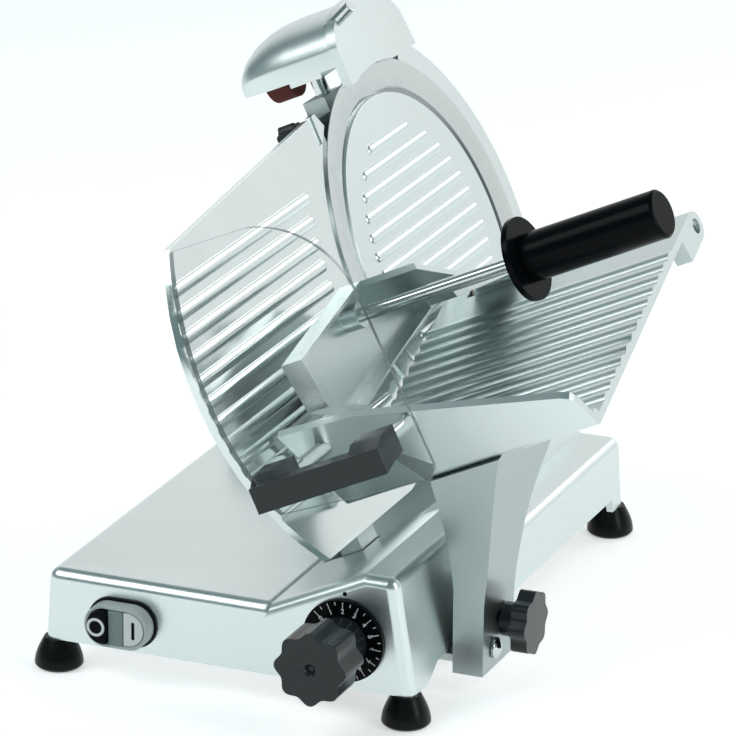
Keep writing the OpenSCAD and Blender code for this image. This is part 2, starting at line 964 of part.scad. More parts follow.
// Sliding foot of the gauge plate: a tab behind the plate, a neck through the slot, a slide and a follower
module gauge_arm() {
  slide_s = plate_back - neck_t - slide_front;
  slide_top = gauge_rod_t + slide_h / 2;
  color(cast_colour)
    cut_frame()
      difference() {
        union() {
          block([plate_back - tab_t, gauge_y - tab_w / 2, plate_low + tab_up],
             [plate_back, gauge_y + tab_w / 2, plate_low + tab_up + tab_h]);
          block([plate_back - neck_t, gauge_y - neck_w / 2, slide_top - 1],
             [plate_back, gauge_y + neck_w / 2, plate_low + 10]);
          block([slide_s, gauge_y - slide_w / 2, gauge_rod_t - slide_h / 2],
             [slide_s + slide_len, gauge_y + slide_w / 2, slide_top]);
          block([follower_s - follower_w / 2, gauge_y - slide_w / 2, knob_t - follower_w / 2],
             [follower_s + follower_w / 2, gauge_y - slide_w / 2 + tab_t, gauge_rod_t]);
          translate([follower_s, 0, knob_t])
            bar_y_dir(cam_l - 1, gauge_y - slide_w / 2 + 2, follower_r);
        }
        translate([0, gauge_y, gauge_rod_t])
          bar_x_dir(slide_s - 1, slide_s + slide_len + 1, gauge_rod_r + fit_gap);
      }
}

module gauge_rod() {
  color(steel_colour)
    cut_frame()
      translate([0, gauge_y, gauge_rod_t])
        bar_x_dir(lug_far + gauge_rod_stop, lug_near + lug_t - gauge_rod_stop, gauge_rod_r);
}

// Knife and drive

// A ring turned round the knife's axis from an outline of radius and s
module turned(from = 0, sweep = 360) {
  rotate([0, 90, 0])
    rotate([0, 0, from])
      rotate_extrude(angle = sweep, $fn = 128)
        children();
}

// Dished knife: flat web, raised rim and a bevel behind the cutting edge
module knife() {
  rim_r = cover_r + cover_gap;
  color(steel_colour)
    cut_frame()
      turned()
        polygon([
          [spigot_r, web_back],
          [spigot_r, web_front],
          [rim_r, web_front],
          [rim_r + rim_lip, cover_front],
          [knife_r - edge_t, 0],
          [knife_r, -edge_t],
          [knife_r - bevel_w, -bevel_d],
          [rim_r - 3, web_back]]);
}

module blade_cover() {
  color(cast_colour)
    cut_frame()
      difference() {
        union() {
          turned()
            polygon([
              [0, cover_back],
              [cover_r - 2, cover_back],
              [cover_r, cover_back + 2],
              [cover_r, cover_front - 1.5],
              [cover_r - 1.5, cover_front],
              [0, cover_front]]);
          intersection() {
            for (i = [0:cover_rib_n - 1])
              cover_rib((i - (cover_rib_n - 1) / 2) * cover_rib_pitch);
            bar_x_dir(cover_back, 2, cover_r);
          }
        }
        bar_x_dir(cover_back - 1, cover_back + 4, tie_r + fit_gap);
      }
}

// One raised bar of the cover, with two round ends
module cover_rib(t) {
  $fn = 40;
  half = sqrt(cover_rib_reach * cover_rib_reach - t * t);
  translate([cover_front + cover_rib_h - cover_rib_r, 0, t]) {
    bar_y_dir(-half, half, cover_rib_r);
    for (side = [-1, 1])
      translate([0, side * half, 0])
        sphere(cover_rib_r);
  }
}

// Ring behind the cutting edge, on two spokes and a foot
module ring_guard() {
  inner = knife_r + ring_gap;
  back = ring_face - ring_t;
  color(cast_colour)
    cut_frame() {
      turned(90 + ring_from, ring_to - ring_from)
        polygon([
          [inner, ring_face],
          [ring_r - ring_edge, ring_face],
          [ring_r, ring_face - ring_edge],
          [ring_r, back],
          [inner, back]]);
      for (a = [-spoke_a, spoke_a])
        rotate([a, 0, 0])
          block([case_front, case_r - 10, -spoke_w / 2],
                [case_front + spoke_t, inner + ring_w / 2, spoke_w / 2]);
      slab_x(back + 1, ring_face - 1)
        polygon([
          [ring_foot[0], slope_t],
          [ring_foot[1], slope_t],
          (ring_r - 1) * [cos(ring_from + 1), sin(ring_from + 1)],
          (inner + 1) * [cos(ring_from + 1), sin(ring_from + 1)],
          (inner + 3) * [cos(ring_from - 8), sin(ring_from - 8)]]);
    }
}

// Drive case behind the knife, on a column that encloses the motor
module housing_form() {
  cut_frame()
    hull() {
      bar_x_dir(case_back, case_front, case_r);
      block([case_back, -housing_y + 5, -motor_drop - tube_r + 4], [case_front, housing_y - 5, 0]);
    }
  hull() {
    cut_frame()
      translate([0, 0, -motor_drop])
        bar_x_dir(tube_s, case_front, tube_r);
    block([housing_left, knife_y - housing_y, tray_z],
       [housing_right, knife_y + housing_y, tray_z + housing_h]);
  }
}

module blade_housing() {
  color(cast_colour)
    difference() {
      intersection() {
        housing_form();
        block([-base_w, -base_d, tray_z], [base_w, base_d, knife_z + 2 * case_r]);
      }
      cut_frame() {
        bar_x_dir(case_back + case_wall, case_front - case_wall, case_r - case_wall - 1);
        translate([0, 0, -motor_drop])
          bar_x_dir(motor_end - 4, case_front - case_wall, motor_bore);
        bar_x_dir(case_front - case_wall - 1, case_front + 1, bearing_r + bearing_wall);
        translate([0, 0, pulley_cover_rise])
          bar_x_dir(case_back - 1, case_back + case_wall + 1, pulley_cover_r - 8);
      }
      block([housing_left + case_wall + 1, knife_y - housing_y + case_wall + 1, tray_z - 1],
         [housing_right - case_wall - 1, knife_y + housing_y - case_wall - 1,
          tray_z + housing_h - case_wall - 1]);
    }
}

module motor_cover() {
  color("dimgray")
    difference() {
      block([housing_left - vent_t, knife_y - vent_w / 2, vent_z],
         [housing_left, knife_y + vent_w / 2, vent_z + vent_h]);
      for (i = [-2:2])
        translate([0, knife_y + i * slit_pitch, vent_z])
          block([housing_left - vent_t - 1, -slit_w / 2, vent_rim],
             [housing_left + 1, slit_w / 2, vent_h - vent_rim]);
    }
}

module knife_hub() {
  color(steel_colour)
    cut_frame()
      difference() {
        union() {
          bar_x_dir(web_back - 1, web_front - 0.2, spigot_r);
          bar_x_dir(web_back - hub_flange_t, web_back, hub_flange_r);
          bar_x_dir(pulley_s, web_back, shaft_r);
        }
        bar_x_dir(pulley_s - 1, 1, tie_bore_r);
      }
}

module bearing_housing() {
  color(cast_colour)
    cut_frame()
      difference() {
        union() {
          bar_x_dir(bearing_front - bearing_tube, bearing_front, bearing_r + bearing_wall);
          bar_x_dir(case_front - case_wall - 6, case_front - case_wall, bearing_flange_r);
        }
        bar_x_dir(bearing_front - bearing_tube - 1, bearing_front + 1, bearing_r);
      }
}

module bearings() {
  color(steel_colour)
    cut_frame()
      for (end = [bearing_front - bearing_w, bearing_front - bearing_tube])
        difference() {
          bar_x_dir(end, end + bearing_w, bearing_r);
          bar_x_dir(end - 1, end + bearing_w + 1, shaft_r + fit_gap);
        }
}

module knife_pulley() {
  color(steel_colour)
    cut_frame()
      difference() {
        bar_x_dir(pulley_s, pulley_s + pulley_w, pulley_r);
        bar_x_dir(pulley_s - 1, pulley_s + pulley_w + 1, shaft_r);
      }
}

// Outline of the belt's outside or inside, round the two pulleys
module belt_outline(grow) {
  big = pulley_r + grow;
  small = motor_pulley_r + grow;
  lean = asin((big - small) / motor_drop);
  polygon(concat(
    arc(big, -lean, 180 + lean, 64),
    moved(arc(small, 180 + lean, 360 - lean, 48), [0, -motor_drop])));
}

module drive_belt() {
  color(black_colour)
    cut_frame()
      slab_x(pulley_s + 1, pulley_s + 1 + belt_w)
        difference() {
          belt_outline(belt_gap + belt_t);
          belt_outline(belt_gap);
        }
}

module motor_pulley() {
  color(steel_colour)
    cut_frame()
      translate([0, 0, -motor_drop]) {
        bar_x_dir(pulley_s, pulley_s + pulley_w, motor_pulley_r);
        bar_x_dir(case_back - motor_len / 2, pulley_s + 1, motor_shaft_r);
      }
}

module motor() {
  color("dimgray")
    cut_frame()
      translate([0, 0, -motor_drop])
        difference() {
          union() {
            bar_x_dir(case_back - motor_len, case_back, motor_r);
            bar_x_dir(case_back - motor_flange_t, case_back, motor_bore);
          }
          bar_x_dir(case_back - motor_len / 2 - 1, case_back + 1, motor_shaft_r + fit_gap);
        }
}

module pulley_cover() {
  color(cast_colour)
    cut_frame()
      difference() {
        translate([0, 0, pulley_cover_rise])
          bar_x_dir(case_back - pulley_cover_t, case_back, pulley_cover_r);
        bar_x_dir(case_back - pulley_cover_t - 1, case_back + 1, tie_r + fit_gap);
      }
}

module tie_rod() {
  color(steel_colour)
    cut_frame()
      bar_x_dir(case_back - pulley_cover_t - tie_knob_len, cover_back + 3.5, tie_r);
}

module tie_rod_knob() {
  back = case_back - pulley_cover_t - run_gap;
  color(black_colour)
    cut_frame()
      difference() {
        union() {
          bar_x_dir(back - tie_neck_len, back, tie_neck_r);
          slab_x(back - tie_knob_len, back - tie_neck_len + 1)
            lobes(tie_knob_r, tie_lobe, knob_lobe_n);
        }
        bar_x_dir(case_back - pulley_cover_t - tie_knob_len, back + 1, tie_r);
      }
}

// Sharpener

// Outline of the hood's end, with its lower edge at the given height and drawn in by a wall
module hood_outline(low, inset) {
  high = hood_top - hood_base;
  shoulder = curve([
    [hood_front, hood_base],
    [hood_front, hood_top - 27],
    [hood_front + 8, hood_top - 13],
    [hood_front + 24, hood_top - 4],
    [hood_front + 50, hood_top],
    [hood_back - 40, hood_top - 5],
    [hood_back - 15, hood_top - 16],
    [hood_back - 3, hood_top - 30],
    [hood_back, hood_base]], 5);
  translate([hood_mid, hood_base])
    scale([1 - inset / hood_half, 1 - inset / high])
      translate([-hood_mid, -hood_base])
        polygon(concat([[hood_front, low]], shoulder, [[hood_back, low]]));
}

// The hood's body, which narrows and drops towards its closed end
module hood_form(inset) {
  low = hood_base - (inset > 0 ? 1 : 0);
  nose = [for (a = [0:15:90])
    [-hood_len + hood_nose - (hood_nose - inset) * sin(a),
     1 - nose_narrow * (1 - cos(a)),
     1 - nose_drop * (1 - cos(a))]];
  hull()
    for (k = concat([[cheek_s, 1, 1]], nose))
      slab_x(k[0] - 1, k[0])
        translate([hood_mid, hood_base])
          scale([k[1], k[2]])
            translate([-hood_mid, -hood_base])
              hood_outline(low, inset);
}

module sharpener_hood() {
  color(cast_colour)
    cut_frame()
      difference() {
        union() {
          difference() {
            hood_form(0);
            hood_form(hood_wall);
          }
          slab_x(cheek_s, cheek_s + cheek_t)
            difference() {
              hood_outline(knife_r - 8, -cheek_rim);
              circle(knife_r - 4, $fn = 128);
            }
          translate([stem_at[0], stem_at[1], stem_top])
            cylinder(r = stem_r + 3, h = hood_top - boss_cap - stem_top);
        }
        translate(pin_at)
          rotate([0, -pin_tilt, 0])
            bar_x_dir(-pin_room, pin_len + pin_room, pin_r + fit_gap);
      }
}

module sharpener_pin() {
  color(steel_colour)
    cut_frame()
      translate(pin_at)
        rotate([0, -pin_tilt, 0])
          bar_x_dir(0, pin_len, pin_r);
}

// Post on the front of the drive case, with a bore for the stem and a clamp hole
module sharpener_post() {
  block_s = stem_at[0] - post_block[0] / 2;
  block_y = stem_at[1] + 14 - post_block[1];
  low = post_top - post_block[2];
  color(cast_colour)
    cut_frame()
      difference() {
        union() {
          block([block_s, block_y, low], [block_s + post_block[0], block_y + post_block[1], post_top]);
          block([block_s, post_arm_y, low], [block_s + post_block[0], block_y + 1, post_arm_t]);
          block([case_front, post_arm_y, case_r - 50],
             [case_front + spoke_t, block_y + post_block[1] - 10, post_arm_t - 1]);
        }
        translate([stem_at[0], stem_at[1], stem_foot - 4])
          cylinder(r = stem_r + fit_gap, h = post_top);
        translate([0, post_knob_at[0], post_knob_at[1]])
          bar_x_dir(block_s - 1, block_s + post_block[0] / 2, post_stud_r + fit_gap);
      }
}

module sharpener_knob() {
  face = stem_at[0] - post_block[0] / 2 - run_gap;
  color(black_colour)
    cut_frame()
      translate([0, post_knob_at[0], post_knob_at[1]]) {
        slab_x(face - post_neck_len - post_knob_len, face - post_neck_len)
          lobes(post_knob_r, post_lobe, post_lobe_n);
        bar_x_dir(face - post_neck_len - 1, face, post_neck_r);
        bar_x_dir(face - 1, face + post_block[0] / 2 - 1, post_stud_r);
      }
}

// Stem in the post, with the arm that carries both stones
module sharpener_stem() {
  arm_end = stone_s + 2;
  color(steel_colour)
    cut_frame() {
      translate([stem_at[0], stem_at[1], stem_foot])
        cylinder(r = stem_r, h = stem_top - stem_foot);
      difference() {
        block([arm_end, stem_at[1] - 9, carrier_base],
              [stem_at[0] + 9, hone_y + 9, carrier_base + carrier_t]);
        translate([stem_at[0], stem_at[1], 0])
          cylinder(r = stem_r - eps, h = stem_top);
      }
      for (y = [stone_y, hone_y])
        translate([0, y, stone_t])
          bar_x_dir(arm_end - spindle_len, arm_end + 1, spindle_r);
    }
}

module stone(y, r, len) {
  cut_frame()
    translate([0, y, stone_t])
      difference() {
        bar_x_dir(stone_s - len, stone_s, r);
        bar_x_dir(stone_s - len + 3, stone_s + 1, spindle_r + fit_gap);
      }
}

module grinding_stone() {
  color([0.35, 0.12, 0.09])
    stone(stone_y, stone_r, stone_len);
}

module honing_stone() {
  color([0.55, 0.52, 0.48])
    stone(hone_y, hone_r, hone_len);
}

// Carriage

module slide_rod() {
  color(steel_colour)
    translate([slide_x, 0, slide_z])
      bar_y_dir(front_y + base_wall, -front_y - base_wall, slide_r);
}

module guide_bar() {
  color(steel_colour)
    block([bar_x, front_y + base_wall, bar_z], [bar_x + bar_w, -front_y - base_wall, bar_z + bar_t]);
}

module slide_block() {
  color(cast_colour)
    difference() {
      block([slide_x - block_w / 2, arm_y, block_z],
            [slide_x + block_w / 2, arm_y + arm_w, block_z + block_h]);
      translate([slide_x, 0, slide_z])
        bar_y_dir(arm_y - 1, arm_y + arm_w + 1, slide_r + bush_t);
    }
}

module slide_bushes() {
  color("goldenrod")
    translate([slide_x, 0, slide_z])
      for (y = [arm_y, arm_y + arm_w - bush_len])
        difference() {
          bar_y_dir(y, y + bush_len, slide_r + bush_t);
          bar_y_dir(y - 1, y + bush_len + 1, slide_r + fit_gap);
        }
}

// Tongue under the base wall, with a pad below the guide bar and an upstand in the foot of the arm
module carriage_bracket() {
  color("dimgray")
    difference() {
      union() {
        block([bar_x, arm_y + 2, tongue_z], [arm_x + upstand_t, arm_y + arm_w - 2, tongue_z + tongue_t]);
        block([bar_x, arm_y + 2, tongue_z + tongue_t - 1],
              [bar_x + bar_w, arm_y + arm_w - 2, block_z + shoe_t]);
        block([arm_x, arm_y + upstand_inset, tongue_z],
           [arm_x + upstand_t, arm_y + arm_w - upstand_inset, tongue_z + upstand_h]);
      }
      arm_holes();
    }
}

// Holes for the bolt and the clamp stud, through the arm and the upstand
module arm_holes() {
  translate([0, arm_bolt_y, arm_bolt_z])
    bar_x_dir(arm_x - 1, arm_x + 2 * arm_t, arm_bolt_r);
  translate([0, clamp_y, clamp_z])
    bar_x_dir(arm_x - 1, arm_x + 2 * arm_t, stud_r + fit_gap);
}

// Space above the underside of the table
module above_table() {
  cut_frame()
    translate([0, vee_y, vee_t])
      rotate([leg_slope, 0, 0])
        block([-base_w, -2 * base_d, -leg_t], [2 * base_w, 2 * base_d, base_w]);
}

// Cast column between the bracket and the table
module carriage_arm() {
  top = knife_z;
  right = arm_x + arm_t;
  back = arm_y + arm_w;
  color(cast_colour)
    difference() {
      intersection() {
        slab_y(arm_y - 1, arm_y + base_d)
          polygon(concat(
            [[arm_x, arm_z]],
            curve([
              [arm_x, base_z + 20],
              [arm_x, base_z + 58],
              [arm_x - 4.5, base_z + 91],
              [arm_x - 12, base_z + 119],
              [arm_x - 21, base_z + 147],
              [arm_x - 44, top],
              [arm_x - 70, top + 60]], 5),
            [[arm_x - 44, top], [right + 24, top]],
            curve([
              [right + 40, top + 40],
              [right + 19, base_z + 198],
              [right + 12, base_z + 176],
              [right + 7.5, base_z + 140],
              [right + 3.5, base_z + 82],
              [right, base_z + 40],
              [right, arm_z]], 5),
            [[right, arm_z]]));
        slab_x(0, base_w)
          polygon(concat(
            [[arm_y, top], [arm_y, arm_z], [back, arm_z]],
            curve([
              [back, arm_z],
              [back + 3, base_z + 43],
              [back + 8, base_z + 80],
              [back + 24, base_z + 112],
              [back + 56, base_z + 144],
              [back + 110, base_z + 190],
              [back + 150, base_z + 220]], 6),
            [[back + 110, top]]));
      }
      above_table();
      block([arm_x - 1, arm_y + upstand_inset, arm_z - 1],
         [arm_x + upstand_t, arm_y + arm_w - upstand_inset, tongue_z + upstand_h]);
      block([arm_x - 1, arm_y + 2, arm_z - 1], [arm_x + upstand_t, arm_y + arm_w - 2, tongue_z + tongue_t]);
      arm_holes();
    }
}

module arm_bolt() {
  face = arm_x + arm_t;
  color(steel_colour)
    translate([0, arm_bolt_y, arm_bolt_z]) {
      bar_x_dir(arm_x, face + 2, arm_bolt_r);
      intersection() {
        translate([face - bolt_dome_r / 2, 0, 0])
          sphere(bolt_dome_r);
        bar_x_dir(face + 1, face + bolt_dome_r, arm_bolt_r * 2);
      }
    }
}

module arm_knob() {
  face = arm_x + arm_t + arm_flare;
  color(black_colour)
    translate([0, clamp_y, clamp_z]) {
      bar_x_dir(arm_x + stud_tip, face + 2, stud_r);
      bar_x_dir(face, face + clamp_stem_len + 1, clamp_stem_r);
      slab_x(face + clamp_stem_len, face + clamp_stem_len + clamp_head)
        lobes(clamp_r, clamp_lobe, knob_lobe_n);
    }
}

// V-shaped trough: the ribbed leg, the front wall and two lugs for the guide rod
module table_section() {
  translate([vee_y, vee_t]) {
    circle(vee_r);
    rotate(leg_slope) {
      translate([0, -leg_t])
        square([leg_len, leg_t]);
      for (i = [0:leg_rib_n - 1])
        translate([leg_rib_first + i * leg_rib_pitch, leg_rib_h - leg_rib_r])
          intersection() {
            circle(leg_rib_r);
            translate([-leg_rib_r, leg_rib_r - leg_rib_h - 1])
              square([2 * leg_rib_r, leg_rib_r]);
          }
    }
    rotate(90 + wall_lean)
      square([wall_high + 5, leg_t]);
  }
}

module rod_lug() {
  translate([vee_y, vee_t])
    rotate(leg_slope) {
      translate([leg_len - lug_lap, rod_q - rod_boss_r])
        square([rod_p - leg_len + lug_lap, 2 * rod_boss_r]);
      translate([rod_p, rod_q])
        circle(rod_boss_r);
    }
}

module carriage_table() {
  color(cast_colour)
    cut_frame()
      difference() {
        union() {
          slab_x(table_s, table_end)
            table_section();
          slab_x(table_end - rod_boss_s, table_end)
            rod_lug();
          slab_x(table_s, table_s + rod_boss_near)
            rod_lug();
        }
        translate([0, rod_at[0], rod_at[1]])
          bar_x_dir(table_s - 1, table_end + 1, guide_r);
        translate([0, vee_y, vee_t])
          rotate([wall_lean, 0, 0])
            slab_y(-40, 40)
              polygon([
                [table_s - 1, wall_high],
                [wall_flat, wall_high - 3],
                [table_end - 9, wall_low + 4],
                [table_end - 3, wall_low],
                [table_end + 1, wall_low - 9],
                [table_end + 1, 2 * wall_high],
                [table_s - 1, 2 * wall_high]]);
      }
}

// Clear sheet between the hand and the knife, with a flange bent forward along the gauge plate
module hand_guard() {
  right = guard_s + guard_w;
  corner = [right - guard_corner, guard_top - guard_corner];
  flange_mid = (guard_top + guard_bottom) / 2;
  half = (guard_top - guard_bottom) / 2;
  flange_r = (half * half + flange_out * flange_out) / (2 * flange_out);
  reach = asin(half / flange_r);
  front = guard_y - guard_t / 2;
  color([0.85, 0.92, 0.92, 0.45])
    cut_frame()
      difference() {
        union() {
          slab_y(front, front + guard_t)
            polygon(concat(
              [[guard_s, guard_bottom]],
              moved(arc(10, -90, 0, 6), [right - 6, guard_bottom + 2]),
              moved(arc(guard_corner, 0, 80, 14), corner),
              [[guard_s, guard_top]]));
          slab_x(guard_s, guard_s + guard_t)
            polygon(concat(
              moved(arc(flange_r, 180 - reach, 180 + reach, 20), [front + flange_r - flange_out, flange_mid]),
              [[front + guard_t, guard_bottom], [front + guard_t, guard_top]]));
        }
        at_posts()
          bar_y_dir(front - 1, front + guard_t + 1, handle_screw_r);
      }
}

module at_posts() {
  for (s = post_s)
    translate([s, 0, post_t])
      children();
}

// Turned posts between the front wall and the guard, each drawn down to a spigot that holds the handle
module handle_posts() {
  front = guard_y - guard_t / 2;
  color(steel_colour)
    cut_frame()
      difference() {
        at_posts() {
          bar_y_dir(front + guard_t, vee_y, post_r);
          bar_y_dir(front - screw_in_ear, front + guard_t + 1, handle_screw_r);
        }
        translate([0, vee_y, vee_t])
          rotate([wall_lean, 0, 0])
            block([0, -leg_t, -base_w], [base_w, base_w, base_w]);
      }
}

module carriage_handle() {
  front = handle_y;
  back = guard_y - guard_t / 2;
  low = handle_top - handle_h;
  color(black_colour)
    cut_frame()
      difference() {
        union() {
          slab_x(handle_s, handle_s + handle_len)
            polygon([
              [front, low],
              [front, handle_top],
              [front + bar_depth, handle_top + 1],
              [front + bar_depth, low + 3]]);
          for (s = [handle_s, handle_s + handle_len - ear_w])
            slab_x(s, s + ear_w)
              polygon([
                [front + 1, low + 1],
                [front + 1, handle_top - 1],
                [front + bar_depth - 2, handle_top + ear_rise],
                [back, handle_top + ear_rise + 1],
                [back, low + 6]]);
        }
        at_posts()
          bar_y_dir(back - screw_in_ear, back + 1, handle_screw_r);
      }
}

module guide_rod() {
  color(steel_colour)
    cut_frame()
      translate([0, rod_at[0], rod_at[1]])
        bar_x_dir(table_s, table_end - rod_recess, guide_r);
}

// Pusher. Its outline is measured from the guide rod.

module on_guide_rod() {
  cut_frame()
    translate([0, rod_at[0], rod_at[1]])
      children();
}

module pusher_bush() {
  outer = guide_r + bush_wall;
  color("goldenrod")
    on_guide_rod()
      difference() {
        union() {
          bar_x_dir(bush_s, bush_end, outer);
          bar_x_dir(bush_s, bush_s + bush_flange_t, bush_flange_r);
          bar_x_dir(bush_end - bush_flange_t, bush_end, bush_flange_r);
        }
        bar_x_dir(bush_s - 1, bush_end + 1, guide_r + fit_gap);
      }
}

// Outline of the plate drawn in by the same share towards its middle
function push_inner(k) =
  [for (p = push_outline) push_mid + (p - push_mid) * k];

// Cast plate with a rim, a roof and an arm that ends in the hub
module pusher_plate() {
  face = push_s + push_plate_t;
  hub_end = hub_s + push_hub_len;
  color(cast_colour)
    on_guide_rod()
      difference() {
        union() {
          slab_x(push_s, face)
            polygon(push_outline);
          slab_x(face - 1, face + push_rim)
            difference() {
              polygon(push_outline);
              polygon(push_inner(rim_share));
            }
          slab_x(hub_s, hub_end)
            polygon(push_arm);
          slab_x(face - 1, face + roof_len)
            polygon([
              push_outline[1],
              push_outline[2],
              push_outline[2] - [0, roof_t],
              push_outline[1] - [0, roof_t + 1]]);
          bar_x_dir(hub_s, hub_end, hub_r);
          translate([0, push_rod_at[0], push_rod_at[1]])
            bar_x_dir(face - 1, face + push_boss_len, push_boss_r);
        }
        bar_x_dir(hub_s - 1, hub_end + 1, guide_r + bush_wall + fit_gap);
        translate([0, push_rod_at[0], push_rod_at[1]])
          bar_x_dir(face, face + push_boss_len + 1, push_rod_r);
      }
}

// Comb of pointed teeth along the plate's lower edge
module pusher_teeth() {
  from = push_outline[5];
  along = push_outline[4] - from;
  unit = along / norm(along);
  down = [unit[1], -unit[0]];
  pitch = norm(along) / tooth_n;
  color(black_colour)
    on_guide_rod()
      slab_x(push_s - comb_t, push_s)
        union() {
          polygon([from, from + along, from + along - comb_h * down, from - comb_h * down]);
          for (i = [0:tooth_n - 1])
            let (foot = from + unit * pitch * (i + 0.5))
              polygon([
                foot - unit * tooth_w / 2 - down,
                foot + unit * tooth_w / 2 - down,
                foot + down * tooth_len]);
        }
}

module on_push_rod() {
  on_guide_rod()
    translate([0, push_rod_at[0], push_rod_at[1]])
      children();
}

module pusher_rod() {
  color(steel_colour)
    on_push_rod()
      bar_x_dir(push_s + push_plate_t, disc_s + disc_t + grip_len - grip_end, push_rod_r);
}

module pusher_disc() {
  color(black_colour)
    on_push_rod()
      difference() {
        bar_x_dir(disc_s, disc_s + disc_t, disc_r);
        bar_x_dir(disc_s - 1, disc_s + disc_t + 1, push_rod_r);
      }
}

module pusher_grip() {
  from = disc_s + disc_t;
  color(black_colour)
    on_push_rod()
      difference() {
        turned()
          polygon([
            [0, from],
            [grip_r, from],
            [grip_r, from + grip_len - grip_edge],
            [grip_r - grip_edge, from + grip_len],
            [0, from + grip_len]]);
        bar_x_dir(from - 1, from + grip_len - grip_end, push_rod_r);
      }
}

base_casting();
base_plate();
feet();
foot_screws();
cable_gland();
control_box();
switch_gasket();
switch_bezel();
stop_button();
start_button();
switch_lens();
switch_block();
thickness_knob();
dial_disc();
knob_shaft();
gauge_cam();
gauge_plate();
gauge_arm();
gauge_rod();
knife();
blade_cover();
ring_guard();
blade_housing();
knife_hub();
bearing_housing();
bearings();
knife_pulley();
drive_belt();
motor_pulley();
motor();
motor_cover();
pulley_cover();
tie_rod();
tie_rod_knob();
sharpener_hood();
sharpener_post();
sharpener_pin();
sharpener_knob();
sharpener_stem();
grinding_stone();
honing_stone();
slide_rod();
guide_bar();
slide_block();
slide_bushes();
carriage_bracket();
carriage_arm();
arm_bolt();
arm_knob();
carriage_table();
hand_guard();
handle_posts();
carriage_handle();
guide_rod();
pusher_bush();
pusher_plate();
pusher_teeth();
pusher_rod();
pusher_disc();
pusher_grip();
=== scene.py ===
"""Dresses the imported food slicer: finishes, softened edges, printed marks, stage and camera."""

import json
import math

import bmesh
import bpy
from mathutils import Matrix, Vector


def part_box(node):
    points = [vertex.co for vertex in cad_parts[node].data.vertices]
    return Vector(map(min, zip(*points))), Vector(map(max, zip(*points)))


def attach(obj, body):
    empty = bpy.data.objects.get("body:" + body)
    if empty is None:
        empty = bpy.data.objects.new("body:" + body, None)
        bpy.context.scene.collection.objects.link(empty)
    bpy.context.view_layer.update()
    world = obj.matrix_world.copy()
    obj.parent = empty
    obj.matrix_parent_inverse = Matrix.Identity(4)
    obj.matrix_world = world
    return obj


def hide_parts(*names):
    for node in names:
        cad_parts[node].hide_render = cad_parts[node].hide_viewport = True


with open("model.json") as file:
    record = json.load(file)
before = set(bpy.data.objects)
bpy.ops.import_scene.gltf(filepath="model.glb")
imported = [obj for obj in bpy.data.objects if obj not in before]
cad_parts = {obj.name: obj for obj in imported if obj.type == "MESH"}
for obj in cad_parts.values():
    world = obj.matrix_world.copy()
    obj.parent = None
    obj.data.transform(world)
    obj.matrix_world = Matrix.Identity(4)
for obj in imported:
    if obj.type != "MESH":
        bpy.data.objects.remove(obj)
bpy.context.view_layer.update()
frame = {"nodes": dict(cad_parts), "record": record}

bl_info = {
    "name": "Food slicer looks",
    "version": (1, 0, 0),
    "blender": (4, 5, 0),
    "location": "3D View > Sidebar > Slicer",
    "description": "Finishes, printed marks and stage of an electric food slicer",
    "category": "Object",
}

# Camera, solved from the photograph, in metres, degrees and pixels
EYE = Vector((1.6032, -3.7949, 1.6390))
AZIMUTH = math.radians(22.648)
ELEVATION = math.radians(19.407)
ROLL = math.radians(0.37)
FOCAL_PX = 5713.13
FRAME_PX = 736
SENSOR_MM = 36.0
FAR_CLIP = 50.0

# Frame of the knife: s square to the knife, y along the stroke, t up its face
TILT = math.radians(25)
KNIFE_CENTRE = Vector((0.0094, 0.1546, 0.2460))
KNIFE_TURN = Matrix.Rotation(-TILT, 4, "Y")

# Each node's body, from the imported record
BODIES = {n: b for b, nodes in frame["record"]["behaviour"]["bodies"].items() for n in nodes}

# Meshes: welding distance, angles that tell flat, sharp and smooth apart, and shading
WELD = 2e-6
FLAT_ANGLE = math.radians(0.6)
SHARP_ANGLE = math.radians(32)
SMOOTH_ANGLE = math.radians(40)
SOFT_SEGMENTS = 2
FACE_WEIGHT = 100

# Values between which most of a noise texture lies
NOISE_LOW = 0.3
NOISE_HIGH = 0.7


